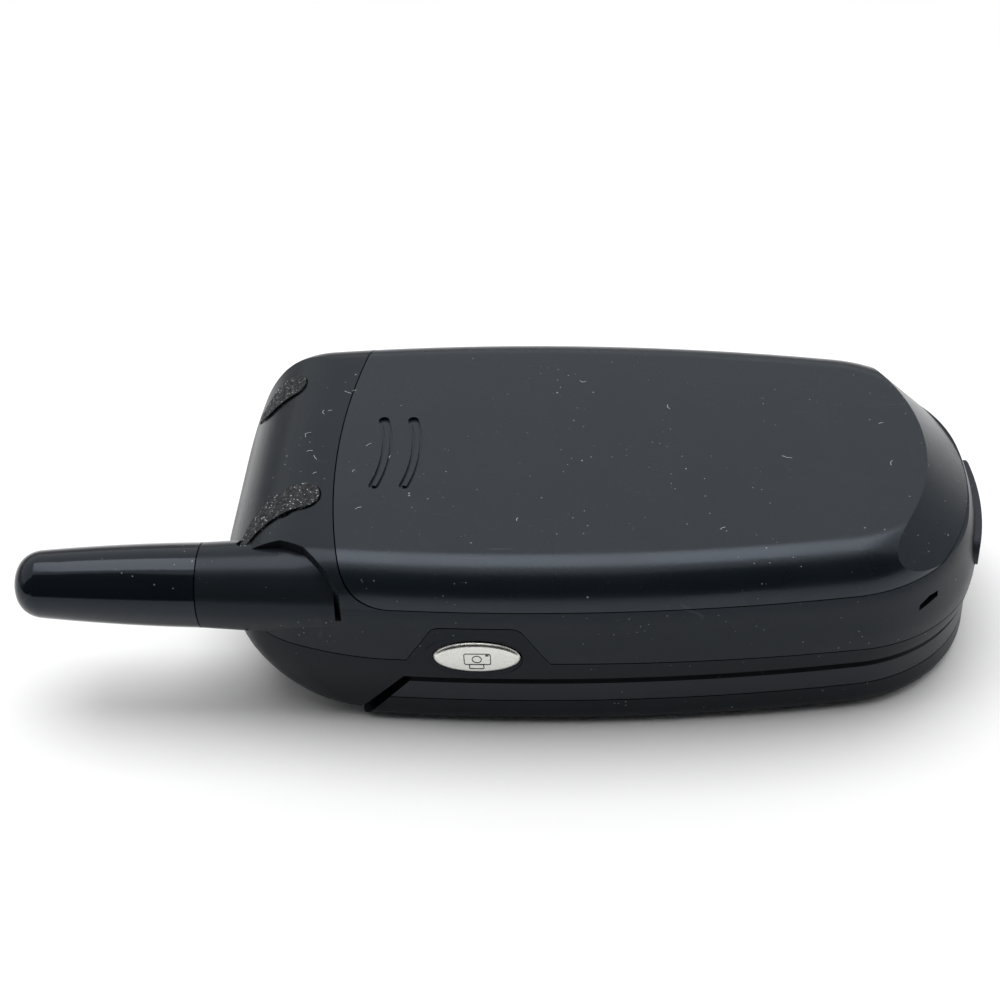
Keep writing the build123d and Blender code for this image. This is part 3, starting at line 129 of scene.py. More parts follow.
# prints on the front keys
PRINT_SUNK = 0.01 * MM  # under the key's face
WORD_SIZE = 0.62  # of the numbers' size
ARROW_FROM_RIM = 2.6 * MM
ARROW_SHAPE = (0.85, 0.6, 1.0)
BAR = (2.4 * MM, 0.45 * MM, 0.2 * MM)  # length, height and corner
HANDSET_GRIP = 0.55 * MM  # thickness of the handset's bow
HANDSET_REACH = 1.35 * MM  # from the middle to the ear and the mouth piece
HANDSET_CENTRE = -0.5 * MM  # of the bow, on Y
HANDSET_SWEEP = math.radians(161)
HANDSET_STEPS = 14
HANDSET_LIFT = math.radians(40)  # turn of the lifted handset
HANDSET_END = (0.85 * MM, 0.75 * MM, 0.15 * MM)  # length, height and corner
HANDSET_END_DROP = -0.45 * MM
HANDSET_END_RAISE = 1.4  # of the print's thickness

# lint
LINT_THICKNESS = 0.03 * MM
LINT_SUNK = 0.005 * MM
LINT_CORNER = 0.3  # of a hair's width
ON_LINE = 1e-6  # corners this near to a line lie on it
COVER_EDGE = -30.6 * MM  # where the battery cover ends towards the hinge, on X

# stage, in metres
FLOOR_SIZE = 6.0
FLOOR_PALES = (0.085, 0.17)  # from here to here the floor turns white
FLOOR_GREYS = (0.93, 0.95)
CARD_RADIUS = 0.62
CARD_HEIGHT = 0.2
CARD_RISE = 1.1  # by so much the cards in front are taller
CARD_FRONT = -0.25  # on Y
CARD_SEAM = (-0.3, -0.1)  # on Y, from the dark cards to the grey ones
DARK_CARD = (0.02, 0.02, 0.022)
GREY_CARD = (0.42, 0.42, 0.43)
FILM_WIDTH = 36.0  # of the camera, in millimetres
NEAREST = 0.01  # what the camera still sees

NUMBER_SIGNS = {
    "key_one": "1", "key_two": "2", "key_three": "3",
    "key_four": "4", "key_five": "5", "key_six": "6",
    "key_seven": "7", "key_eight": "8", "key_nine": "9",
    "key_star": "*", "key_zero": "0", "key_hash": "#",
}


# --- sizes and colours that a user may change ---

def colour(name, description, default):
    return bpy.props.FloatVectorProperty(
        name=name, description=description, default=default,
        size=3, min=0.0, max=1.0, subtype="COLOR")


def length(name, description, default):
    return bpy.props.FloatProperty(
        name=name, description=description, default=default,
        min=0.0, precision=5, unit="LENGTH")


def angle(name, description, degrees):
    return bpy.props.FloatProperty(
        name=name, description=description, default=math.radians(degrees), unit="ROTATION")


def factor(name, description, default):
    return bpy.props.FloatProperty(
        name=name, description=description, default=default,
        min=0.0, max=1.0, subtype="FACTOR")


class PhoneColours(bpy.types.PropertyGroup):
    """Colours of the mouldings, rubbers, metals and prints"""
    # housing and front are two copies of one lacquer: the paler housing colour is painted light
    # on the tops, the darker front colour is painted shade on the walls
    housing: colour("Housing", "Lacquered rear housing", (0.0105, 0.0128, 0.0155))
    front: colour("Front and lid", "Lacquered front housing and lid", (0.0045, 0.0065, 0.0085))
    back: colour("Battery cover", "Satin back of the battery pack", (0.006, 0.009, 0.0115))
    antenna: colour("Antenna", "Overmould of the stub antenna", (0.005, 0.0065, 0.009))
    inside: colour("Lid inside", "Inner shell of the lid", (0.016, 0.017, 0.020))
    keys: colour("Keys", "Caps of the keypad", (0.045, 0.047, 0.053))
    side_key: colour("Volume key", "Rocker on the far side", (0.02, 0.021, 0.024))
    grip: colour("Grips", "Ground colour of the rubber grips", (0.007, 0.008, 0.010))
    fleck: colour("Grip flecks", "Pale grains in the rubber grips", (0.50, 0.54, 0.58))
    trim: colour("Port cover", "Soft rubber of the port cover and bumpers", (0.012, 0.013, 0.015))
    chrome: colour("Camera key", "Plating of the camera key", (0.69, 0.69, 0.655))
    print: colour("Key print", "Numbers on the keys", (0.72, 0.74, 0.76))
    call: colour("Call print", "Sign on the send key", (0.05, 0.42, 0.10))
    stop: colour("End print", "Sign on the end key", (0.55, 0.03, 0.025))
    dust: colour("Dust", "Specks and lint on the outside", (0.42, 0.44, 0.45))


class PhoneMarks(bpy.types.PropertyGroup):
    """Sizes of the signs and of the wear"""
    number_size: length("Number size", "Letter size of the key numbers", 4.2 * MM)
    print_thickness: length("Print thickness", "Thickness of the printed signs", 0.04 * MM)
    line_width: length("Line width", "Line of the camera sign", 0.11 * MM)
    sign_width: length("Camera sign width", "Width of the camera sign", 3.15 * MM)
    arrow_size: length("Arrow size", "Arrows on the direction ring", 0.8 * MM)
    key_length: length("Camera key length", "Long axis of the oval key", 10.2 * MM)
    key_height: length("Camera key height", "Short axis of the oval key", 4.6 * MM)
    rib_width: length("Rib width", "Curved ribs in the grip grooves", 0.5 * MM)
    lint_width: length("Lint width", "Width of a dust hair", 0.055 * MM)
    gloss: factor("Housing roughness", "Roughness of the lacquer", 0.24)
    satin: factor("Back roughness", "Roughness of the battery cover", 0.27)


class PhoneStudio(bpy.types.PropertyGroup):
    """Camera and lights"""
    turn: angle("Camera turn", "From the front towards the charging end", 5.41)
    tilt: angle("Camera tilt", "Height of the camera over the table", 40.81)
    roll: angle("Camera roll", "Turn of the picture", -3.40)
    distance: length("Camera distance", "From the camera to its aim", 0.2536)
    aim: bpy.props.FloatVectorProperty(
        name="Camera aim", description="Point that the camera looks at",
        default=(-0.01311, 0.00634, 0.010), size=3, subtype="XYZ", unit="LENGTH")
    lens: bpy.props.FloatProperty(
        name="Lens", description="Focal length in millimetres", default=72.0, min=1.0)
    box_power: bpy.props.FloatProperty(
        name="Softbox power", description="Watts of the overhead softbox",
        default=3.7, min=0.0)
    box_length: length("Softbox length", "Long side of the softbox, along the phone", 0.76)
    box_width: length("Softbox width", "Short side of the softbox", 0.50)
    box_side: length("Softbox shift", "How far the softbox stands towards the antenna", 0.08)
    box_height: length("Softbox height", "Height of the softbox over the table", 0.78)
    box_back: length("Softbox set-back", "How far the softbox hangs behind the phone", 0.15)
    fill: bpy.props.FloatProperty(
        name="Fill", description="Strength of the surrounding light", default=1.2, min=0.0)


# --- node helpers ---

def add(tree, kind, inputs=None, **settings):
    """A new node, its inputs linked to sockets or set to values."""
    node = tree.nodes.new("ShaderNode" + kind)
    for name, value in settings.items():
        setattr(node, name, value)
    for key, value in (inputs or {}).items():
        if isinstance(value, bpy.types.NodeSocket):
            tree.links.new(value, node.inputs[key])
        else:
            node.inputs[key].default_value = value
    return node


def new_material(name):
    """A material with an empty tree but for its output and shader."""
    material = bpy.data.materials.new(name)
    material.use_nodes = True
    tree = material.node_tree
    tree.nodes.clear()
    shader = add(tree, "BsdfPrincipled")
    add(tree, "OutputMaterial", {"Surface": shader.outputs[0]})
    return material, tree, shader


def surface(tree, shown):
    """Put another shader on the surface of a material."""
    output = next(node for node in tree.nodes if node.type == "OUTPUT_MATERIAL")
    tree.links.new(shown, output.inputs["Surface"])


def math_of(tree, operation, first, second):
    return add(tree, "Math", {0: first, 1: second}, operation=operation).outputs[0]


def times(tree, first, second):
    return math_of(tree, "MULTIPLY", first, second)


def plus(tree, first, second):
    return math_of(tree, "ADD", first, second)


def larger(tree, first, second):
    return math_of(tree, "MAXIMUM", first, second)


def ramp(tree, value, low, high, to_low=0.0, to_high=1.0):
    """Smooth step of a value from low..high to to_low..to_high."""
    node = add(tree, "MapRange", {
        "Value": value, "From Min": low, "From Max": high,
        "To Min": to_low, "To Max": to_high}, interpolation_type="SMOOTHSTEP")
    return node.outputs["Result"]


def place_on(tree, stretch=(1.0, 1.0, 1.0), turn=0.0):
    """Object coordinates, stretched and turned about the upright."""
    coords = add(tree, "TexCoord").outputs["Object"]
    mapping = add(tree, "Mapping", {"Vector": coords, "Scale": stretch})
    mapping.inputs["Rotation"].default_value = (0.0, 0.0, turn)
    return mapping.outputs[0]


def noise(tree, scale, detail=3.0, stretch=(1.0, 1.0, 1.0), turn=0.0):
    """Soft spots; at a scale of 1000 they are about a millimetre wide."""
    return add(tree, "TexNoise", {
        "Vector": place_on(tree, stretch, turn), "Scale": scale,
        "Detail": detail, "Roughness": 0.6}).outputs[0]


def specks(tree, scale, share, radius):
    """Round specks in some of the cells: 1 inside a speck, 0 outside."""
    cells = add(tree, "TexVoronoi", {"Vector": place_on(tree), "Scale": scale})
    pick = add(tree, "SeparateColor", {"Color": cells.outputs["Color"]}).outputs[0]
    chosen = math_of(tree, "GREATER_THAN", pick, 1.0 - share)
    inside = ramp(tree, cells.outputs["Distance"], radius * 0.6, radius, 1.0, 0.0)
    return times(tree, chosen, inside)


def scratches(tree, turn, scale=55.0):
    """Thin broken lines along one direction."""
    lines = noise(tree, scale, 2.0, (1.0, 38.0, 1.0), turn)
    broken = noise(tree, 95.0, 1.0)
    thin = ramp(tree, lines, 0.70, 0.74)
    return times(tree, thin, ramp(tree, broken, 0.55, 0.66))


def mixed(tree, share, first, second):
    """The first colour where the share is 0, and the second where it is 1."""
    node = add(tree, "Mix", data_type="RGBA")
    for socket, value in zip((node.inputs[0], node.inputs[6], node.inputs[7]),
                             (share, first, second)):
        if isinstance(value, bpy.types.NodeSocket):
            tree.links.new(value, socket)
        else:
            socket.default_value = value
    return node.outputs[2]


def solid(colour_value, level=1.0):
    """A colour for a socket, made darker or paler by its level."""
    return tuple(min(1.0, part * level) for part in colour_value[:3]) + (1.0,)


def mottled(tree, colour_value, scale, depth):
    """A colour that varies softly by depth to both sides."""
    return mixed(tree, noise(tree, scale, 4.0),
                 solid(colour_value, 1.0 - depth), solid(colour_value, 1.0 + depth))


def uneven(tree, value, low, high):
    """A roughness that goes from low to high over the middle of a noise."""
    return ramp(tree, value, 0.3, 0.7, low, high)


def set_levels(shader, levels):
    for name, level in levels.items():
        shader.inputs[name].default_value = level


def connect(tree, shader, ground, rough, height, depth):
    """Give a shader its colour, its roughness and a relief, its depth in millimetres."""
    tree.links.new(ground, shader.inputs["Base Color"])
    tree.links.new(rough, shader.inputs["Roughness"])
    bump = add(tree, "Bump", {"Height": height, "Distance": depth * MM, "Strength": 1.0})
    tree.links.new(bump.outputs[0], shader.inputs["Normal"])


def dust_on(tree, share):
    """Specks of two sizes that lie in clusters."""
    clusters = ramp(tree, noise(tree, 90.0, 2.0), 0.45, 0.62)
    small = specks(tree, 900.0, 0.10 * share, 0.13)
    fine = specks(tree, 2300.0, 0.06 * share, 0.20)
    return times(tree, larger(tree, small, fine), clusters)


def hair_marks(tree, share):
    """Hair scratches along two directions."""
    first = times(tree, scratches(tree, 0.5), share)
    second = times(tree, scratches(tree, 2.0, 48.0), share)
    return larger(tree, first, second)


def matt(shader):
    """Take all gloss off a surface of the stage."""
    set_levels(shader, {"Roughness": 0.9, "Specular IOR Level": 0.0})


# --- finishes ---

def moulded(name, colour_value, roughness, grain=LACQUER_GRAIN, dusty=0.0, worn=0.0,
            coat=0.0, shine=0.42, satin_below=None):
    """Moulded plastic: mottled colour, fine grain, dust specks and hair scratches.

    Below the height satin_below it is less glossy.
    """
    material, tree, shader = new_material(name)
    ground = mottled(tree, colour_value, 260.0, 0.12)
    rough = uneven(tree, noise(tree, 70.0, 5.0), roughness * 0.88, roughness * 1.12)
    if satin_below is not None:
        height = add(tree, "SeparateXYZ", {0: place_on(tree)}).outputs["Z"]
        low, high = (satin_below + reach for reach in SATIN_FADE)
        rough = plus(tree, rough, ramp(tree, height, low, high, SATIN_ROUGHER, 0.0))
    if dusty > 0.0:
        dust = dust_on(tree, dusty)
        pale = larger(tree, times(tree, dust, DUST_COVER),
                      times(tree, hair_marks(tree, worn), SCRATCH_COVER))
        ground = mixed(tree, pale, ground, solid(bpy.context.scene.phone_colours.dust))
        rough = plus(tree, rough, times(tree, dust, DUST_ROUGHER))
    connect(tree, shader, ground, rough, noise(tree, grain[0], 2.0), grain[1])
    set_levels(shader, {
        "Specular Tint": COOL_TINT, "Specular IOR Level": shine,
        "Coat Weight": coat, "Coat Roughness": COAT_ROUGHNESS})
    return material


def flecked_rubber(name, ground_colour, fleck_colour):
    """Rubber with a coarse grain and bright flecks."""
    material, tree, shader = new_material(name)
    ground = mottled(tree, ground_colour, 1300.0, 0.45)
    bright = specks(tree, 4400.0, 0.12, 0.46)
    soft = specks(tree, 3000.0, 0.25, 0.5)
    patches = ramp(tree, noise(tree, 420.0, 2.0), 0.35, 0.6, 0.25, 1.0)
    share = larger(tree, times(tree, bright, patches), times(tree, soft, 0.12))
    ground = mixed(tree, share, ground, solid(fleck_colour))
    rough = ramp(tree, noise(tree, 2200.0, 2.0), 0.35, 0.65, 0.45, 0.8)
    connect(tree, shader, ground, rough, noise(tree, 3600.0, 2.0), 0.09)
    set_levels(shader, {"Specular IOR Level": 0.32})
    return material


def metal(name, colour_value, roughness, brush=(1.0, 1.0, 14.0), depth=0.002):
    """Metal with fine lines along its brushed direction and small stains."""
    material, tree, shader = new_material(name)
    lines = noise(tree, 900.0, 3.0, brush)
    stains = noise(tree, 240.0, 4.0)
    ground = mixed(tree, stains, solid(colour_value, 0.93), solid(colour_value, 1.05))
    rough = uneven(tree, lines, roughness * 0.8, roughness * 1.25)
    connect(tree, shader, ground, rough, lines, depth)
    set_levels(shader, {"Metallic": 1.0})
    return material


def lacquered_board(name):
    """Green lacquer over copper tracks, with pale solder spots."""
    material, tree, shader = new_material(name)
    tracks = add(tree, "TexBrick", {
        "Vector": place_on(tree), "Scale": 260.0, "Mortar Size": 0.03,
        "Brick Width": 0.9, "Row Height": 0.28}).outputs["Fac"]
    spots = specks(tree, 700.0, 0.35, 0.24)
    ground = mixed(tree, tracks, solid(BOARD_GREEN), solid(TRACK_GREEN))
    ground = mixed(tree, spots, ground, solid(SOLDER))
    rough = uneven(tree, noise(tree, 400.0), 0.22, 0.36)
    connect(tree, shader, ground, rough, plus(tree, tracks, spots), 0.02)
    return material


def film(name, colour_value, roughness):
    """Thin plastic film with soft ripples and a printed line pattern."""
    material, tree, shader = new_material(name)
    stripes = ramp(tree, noise(tree, 40.0, 0.0, (1.0, 40.0, 1.0)), 0.45, 0.55)
    ground = mixed(tree, stripes, solid(colour_value, 0.85), solid(colour_value, 1.1))
    rough = uneven(tree, noise(tree, 500.0), roughness * 0.85, roughness * 1.2)
    connect(tree, shader, ground, rough, noise(tree, 180.0), 0.02)
    return material


def clear_window(name):
    """Smoked acrylic: clear, with faint hair scratches in its hard coat."""
    material, tree, shader = new_material(name)
    marks = larger(tree, scratches(tree, 0.9, 60.0), specks(tree, 900.0, 0.04, 0.1))
    ground = mixed(tree, marks, solid(SMOKED), solid(SMOKED_SCRATCH))
    rough = ramp(tree, marks, 0.0, 1.0, 0.03, 0.3)
    connect(tree, shader, ground, rough, noise(tree, 60.0), 0.004)
    set_levels(shader, {"Transmission Weight": 1.0, "IOR": 1.49})
    return material


def switched_off_display(name):
    """Dark display glass with the faint grid of its picture cells."""
    material, tree, shader = new_material(name)
    grid = add(tree, "TexBrick", {
        "Vector": place_on(tree), "Scale": 4200.0, "Mortar Size": 0.06,
        "Brick Width": 1.0, "Row Height": 1.0}, offset=0.0).outputs["Fac"]
    haze = noise(tree, 120.0, 3.0)
    ground = mixed(tree, grid, solid(SCREEN_LINE), solid(SCREEN_CELL))
    ground = mixed(tree, ramp(tree, haze, 0.5, 0.9, 0.0, 0.4), ground, solid(SCREEN_HAZE))
    rough = uneven(tree, haze, 0.12, 0.2)
    connect(tree, shader, ground, rough, grid, 0.001)
    return material


def printed(name, colour_value):
    """Screen print: even ink with small pinholes and a matte skin."""
    material, tree, shader = new_material(name)
    pinholes = specks(tree, 5200.0, 0.12, 0.3)
    ground = mixed(tree, times(tree, pinholes, 0.35),
                   mottled(tree, colour_value, 900.0, 0.06), solid(colour_value, 0.4))
    rough = uneven(tree, noise(tree, 1500.0), 0.42, 0.6)
    connect(tree, shader, ground, rough, noise(tree, 5000.0), 0.004)
    return material


def dress(slot, material, only=None):
    """Give the CAD nodes of a slot their finish, all of them or only those named."""
    dressed = 0
    for part in frame["record"]["subparts"]:
        if part["material_slot"] == slot and (only is None or part["node"] in only):
            for place in frame["nodes"][part["node"]].material_slots:
                place.material = material
            dressed += 1
    if dressed == 0:
        raise RuntimeError("no node has the slot " + slot)


def finish_of(node):
    return frame["nodes"][node].material_slots[0].material


# --- modelling helpers ---

def start_clean():
    if bpy.context.object and bpy.context.object.mode != "OBJECT":
        bpy.ops.object.mode_set(mode="OBJECT")
    bpy.ops.object.select_all(action="DESELECT")


def pick(thing):
    start_clean()
    thing.select_set(True)
    bpy.context.view_layer.objects.active = thing


def apply_place():
    bpy.ops.object.transform_apply(location=True, rotation=True, scale=True)


def edit_all():
    bpy.ops.object.mode_set(mode="EDIT")
    bpy.ops.mesh.select_all(action="SELECT")


def choose_corners(piece, wanted):
    """Select the corners whose place passes a test, and stay in edit mode."""
    bpy.ops.object.mode_set(mode="EDIT")
    bpy.ops.mesh.select_mode(type="VERT")
    bpy.ops.mesh.select_all(action="DESELECT")
    bpy.ops.object.mode_set(mode="OBJECT")
    for corner in piece.data.vertices:
        corner.select = wanted(corner.co)
    bpy.ops.object.mode_set(mode="EDIT")


def extrude_up(height):
    bpy.ops.mesh.extrude_region_move(TRANSFORM_OT_translate={"value": (0.0, 0.0, height)})


def close_up():
    """Merge doubles, turn the faces outwards and leave edit mode."""
    bpy.ops.mesh.select_all(action="SELECT")
    bpy.ops.mesh.remove_doubles(threshold=DOUBLES)
    bpy.ops.mesh.normals_make_consistent(inside=False)
    bpy.ops.object.mode_set(mode="OBJECT")


def raise_plate(thickness):
    """Raise the flat faces of the active object into a closed plate."""
    edit_all()
    extrude_up(thickness)
    close_up()


def raise_outline(border, thickness):
    """Turn the flat face of the active object into a raised outline."""
    edit_all()
    bpy.ops.mesh.inset(thickness=border, depth=0.0)
    bpy.ops.mesh.delete(type="FACE")
    bpy.ops.mesh.select_all(action="SELECT")
    extrude_up(thickness)
    close_up()


def flat_plate(width, height, corner, x=0.0, y=0.0):
    """A flat rounded rectangle as the active object."""
    start_clean()
    bpy.ops.mesh.primitive_plane_add(size=1.0, location=(x, y, 0.0))
    plate = bpy.context.object
    plate.scale = (width, height, 1.0)
    apply_place()
    edit_all()
    bpy.ops.mesh.bevel(offset=corner, segments=ROUND_STEPS, affect="VERTICES")
    bpy.ops.object.mode_set(mode="OBJECT")
    return plate


def flat_disc(radius, corners, x=0.0, y=0.0):
    """A flat disc, or a triangle when it has three corners, as the active object."""
    start_clean()
    bpy.ops.mesh.primitive_circle_add(
        vertices=corners, radius=radius, fill_type="NGON", location=(x, y, 0.0))
    disc = bpy.context.object
    apply_place()
    return disc


def flat_oval(width, height):
    """A flat oval as the active object."""
    disc = flat_disc(width / 2, OVAL_CORNERS)
    disc.scale = (1.0, height / width, 1.0)
    apply_place()
    return disc


def flat_bow(width, reach, centre_y, sweep, steps):
    """An edge that crosses the X axis at its reach, spun into a flat bow."""
    start_clean()
    bpy.ops.mesh.primitive_plane_add(size=width, location=(reach, 0.0, 0.0))
    bow = bpy.context.object
    apply_place()
    choose_corners(bow, lambda place: place.y > 0.0)
    bpy.ops.mesh.delete(type="VERT")
    bpy.ops.mesh.select_all(action="SELECT")
    bpy.ops.mesh.spin(steps=steps, angle=sweep, center=(0.0, centre_y, 0.0),
                      axis=(0.0, 0.0, 1.0))
    bpy.ops.object.mode_set(mode="OBJECT")
    return bow


def raised_text(words, size, thickness):
    """Words or numbers as a thin mesh plate."""
    start_clean()
    bpy.ops.object.text_add(location=(0.0, 0.0, 0.0))
    text = bpy.context.object
    text.data.body = words
    text.data.size = size
    text.data.align_x = "CENTER"
    text.data.extrude = thickness / 2
    text.data.resolution_u = ROUND_STEPS
    bpy.ops.object.convert(target="MESH")
    mesh = bpy.context.object
    corners = [Vector(corner) for corner in mesh.bound_box]
    middle = sum(corners, Vector()) / 8
    mesh.location = (-middle.x, -middle.y, thickness / 2)
    apply_place()
    return mesh


def joined(pieces):
    start_clean()
    for piece in pieces:
        piece.select_set(True)
    bpy.context.view_layer.objects.active = pieces[0]
    bpy.ops.object.join()
    return bpy.context.object


def settle(piece, name, material, body, facing=FLAT, spot=(0, 0, 0)):
    """Set a finished piece in its place on the phone, and let it ride on its body."""
    pick(piece)
    right, up = Vector(facing[0]), Vector(facing[1])
    turn = Matrix((right, up, right.cross(up))).transposed().to_4x4()
    piece.matrix_world = Matrix.Translation(Vector(spot)) @ turn
    apply_place()
    piece.name = name
    piece.data.name = name
    piece.data.materials.clear()
    piece.data.materials.append(material)
    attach(piece, body)


def set_on_key(piece, name, material, node):
    """Lay a sign in the middle of a front key's face."""
    low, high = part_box(node)
    settle(piece, name, material, node, ON_KEYPAD,
           ((low[0] + high[0]) / 2, (low[1] + high[1]) / 2, low[2] + PRINT_SUNK))


# --- operators ---

class PHONE_OT_mouldings(bpy.types.Operator):
    """Finish the housings, the battery cover, the antenna and the lid's shells"""
    bl_idname = "phone.mouldings"
    bl_label = "Mouldings"

    def execute(self, context):
        colours = context.scene.phone_colours
        marks = context.scene.phone_marks
        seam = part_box("battery_cover")[0][2]
        # One lacquer in two copies: the rear housing is paler and glossier, as painted light on
        # its tops; the front housing and lid are darker and less glossy, as painted shade on the
        # walls
        dress("housing_gloss", moulded(
            "housing_gloss", colours.housing, marks.gloss,
            dusty=1.0, worn=1.0, shine=0.22, satin_below=seam))
        dress("housing_gloss", moulded(
            "front_shaded_gloss", colours.front, marks.gloss,
            dusty=1.0, worn=1.0, shine=0.17, satin_below=seam),
            only=("front_housing", "lid_outer_shell"))
        dress("back_satin", moulded(
            "back_satin", colours.back, marks.satin, SATIN_GRAIN, dusty=1.0, worn=1.0))
        dress("antenna_gloss", moulded(
            "antenna_gloss", colours.antenna, 0.13, ANTENNA_GRAIN,
            dusty=0.4, worn=0.5, shine=0.34))
        dress("inner_plastic", moulded(
            "inner_plastic", colours.inside, 0.34, LID_GRAIN,
            dusty=0.3, worn=0.3, shine=0.24))
        return {"FINISHED"}


class PHONE_OT_rubbers(bpy.types.Operator):
    """Finish the flecked grips and the soft rubber trim"""
    bl_idname = "phone.rubbers"
    bl_label = "Rubbers"

    def execute(self, context):
        colours = context.scene.phone_colours
        dress("grip_rubber", flecked_rubber("grip_rubber", colours.grip, colours.fleck))
        dress("trim_rubber", moulded(
            "trim_rubber", colours.trim, 0.55, RUBBER_GRAIN, dusty=0.8))
        return {"FINISHED"}


class PHONE_OT_keys(bpy.types.Operator):
    """Finish the keypad's caps, the volume rocker and the camera key"""
    bl_idname = "phone.keys"
    bl_label = "Keys"

    def execute(self, context):
        colours = context.scene.phone_colours
        dress("key_plastic", moulded(
            "key_plastic", colours.keys, 0.3, CAP_GRAIN, dusty=0.2, worn=0.3, coat=0.3))
        dress("side_key_plastic", moulded(
            "side_key_plastic", colours.side_key, 0.32, ROCKER_GRAIN, dusty=0.5, worn=0.3))
        dress("chrome_key", metal(
            "chrome_key", colours.chrome, 0.3, brush=(1.0, 1.0, 9.0), depth=0.003))
        return {"FINISHED"}


class PHONE_OT_metals(bpy.types.Operator):
    """Finish the screws, hinge steel, shield, motor, contacts and battery can"""
    bl_idname = "phone.metals"
    bl_label = "Metals"

    def execute(self, context):
        dress("steel", metal("steel", STEEL, 0.28))
        dress("motor_steel", metal("motor_steel", MOTOR_STEEL, 0.22, brush=(14.0, 1.0, 1.0)))
        dress("brass", metal("brass", BRASS, 0.24, brush=(1.0, 10.0, 1.0)))
        dress("cell_foil", metal("cell_foil", CELL_FOIL, 0.34, brush=(1.0, 24.0, 1.0)))
        return {"FINISHED"}


class PHONE_OT_windows(bpy.types.Operator):
    """Finish the windows and the switched-off displays"""
    bl_idname = "phone.windows"
    bl_label = "Windows and Displays"

    def execute(self, context):
        dress("window_clear", clear_window("window_clear"))
        dress("display_dark", switched_off_display("display_dark"))
        return {"FINISHED"}


class PHONE_OT_inner_parts(bpy.types.Operator):
    """Finish the tray, boards, films and modules inside"""
    bl_idname = "phone.inner_parts"
    bl_label = "Inner Parts"

    def execute(self, context):
        dress("tray_plastic", moulded("tray_plastic", TRAY_GREY, 0.5, TRAY_GRAIN))
        dress("module_black", moulded("module_black", MODULE_BLACK, 0.45))
        dress("board_lacquer", lacquered_board("board_lacquer"))
        dress("dome_foil", film("dome_foil", DOME_SILVER, 0.4))
        dress("flex_film", film("flex_film", FLEX_AMBER, 0.3))
        return {"FINISHED"}


class PHONE_OT_numbers(bpy.types.Operator):
    """Print the numbers, the star and the hash on their keys"""
    bl_idname = "phone.numbers"
    bl_label = "Numbers"

    def execute(self, context):
        marks = context.scene.phone_marks
        ink = printed("number_print", context.scene.phone_colours.print)
        for node, sign in NUMBER_SIGNS.items():
            text = raised_text(sign, marks.number_size, marks.print_thickness)
            set_on_key(text, node + "_print", ink, node)
        for node, name, word in (("ok_key", "ok_print", "OK"), ("clear_key", "clear_print", "C")):
            text = raised_text(word, marks.number_size * WORD_SIZE, marks.print_thickness)
            set_on_key(text, name, ink, node)
        return {"FINISHED"}


class PHONE_OT_call_signs(bpy.types.Operator):
    """Print a lifted and a laid handset on the send and end keys"""
    bl_idname = "phone.call_signs"
    bl_label = "Call Signs"

    def handset(self, thickness, turn):
        """An arched grip with an ear and a mouth piece."""
        parts = [flat_bow(HANDSET_GRIP, -HANDSET_REACH, HANDSET_CENTRE, HANDSET_SWEEP,
                          HANDSET_STEPS)]
        raise_plate(thickness)
        for x in (-HANDSET_REACH, HANDSET_REACH):
            parts.append(flat_plate(*HANDSET_END, x, HANDSET_END_DROP))
            raise_plate(HANDSET_END_RAISE * thickness)
        sign = joined(parts)
        sign.rotation_euler = (0.0, 0.0, turn)
        apply_place()
        return sign

    def execute(self, context):
        colours = context.scene.phone_colours
        thickness = context.scene.phone_marks.print_thickness
        green = printed("call_print", colours.call)
        red = printed("end_print", colours.stop)
        set_on_key(self.handset(thickness, HANDSET_LIFT), "send_print", green, "send_key")
        set_on_key(self.handset(thickness, 0.0), "end_print", red, "end_key")
        return {"FINISHED"}


class PHONE_OT_arrows(bpy.types.Operator):
    """Print the four arrows of the direction ring and the bars of the soft keys"""
    bl_idname = "phone.arrows"
    bl_label = "Arrows"

    def execute(self, context):
        marks = context.scene.phone_marks
        ink = printed("arrow_print", context.scene.phone_colours.print)
        low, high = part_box("nav_ring")
        reach = (high[0] - low[0]) / 2 - ARROW_FROM_RIM
        arrows = []
        for number in range(4):
            arrow = flat_disc(marks.arrow_size, 3)
            arrow.scale = ARROW_SHAPE
            arrow.location = (0.0, reach, 0.0)
            apply_place()
            arrow.rotation_euler = (0.0, 0.0, number * math.pi / 2)
            apply_place()
            raise_plate(marks.print_thickness)
            arrows.append(arrow)
        set_on_key(joined(arrows), "arrow_prints", ink, "nav_ring")
        for node in ("soft_key_left", "soft_key_right"):
            bar = flat_plate(*BAR)
            raise_plate(marks.print_thickness)
            set_on_key(bar, node + "_print", ink, node)
        return {"FINISHED"}


class PHONE_OT_camera_key(bpy.types.Operator):
    """Model the oval plated camera key and the bezel round it"""
    bl_idname = "phone.camera_key"
    bl_label = "Camera Key"

    def execute(self, context):
        marks = context.scene.phone_marks
        low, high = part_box("camera_key")
        middle_x, face_y = (low[0] + high[0]) / 2, low[1] + KEY_SKIN
        key = flat_oval(marks.key_length, marks.key_height)
        edit_all()
        extrude_up(KEY_DEPTH)
        bpy.ops.mesh.bevel(offset=KEY_ROUND, segments=ROUND_STEPS, affect="EDGES")
        close_up()
        settle(key, "oval_key", finish_of("camera_key"), "camera_key", ON_WALL,
               (middle_x, face_y + KEY_DEPTH, KEY_HEIGHT_ON_WALL))
        pick(key)
        bpy.ops.object.shade_smooth_by_angle(angle=KEY_SMOOTH)
        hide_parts("camera_key")
        bezel = flat_oval(marks.key_length + BEZEL_SPREAD[0], marks.key_height + BEZEL_SPREAD[1])
        raise_outline(BEZEL_BORDER, BEZEL_DEPTH)
        settle(bezel, "key_bezel", finish_of("front_housing"), "housing",
               ON_WALL, (middle_x, face_y + BEZEL_SET_BACK, KEY_HEIGHT_ON_WALL))
        return {"FINISHED"}


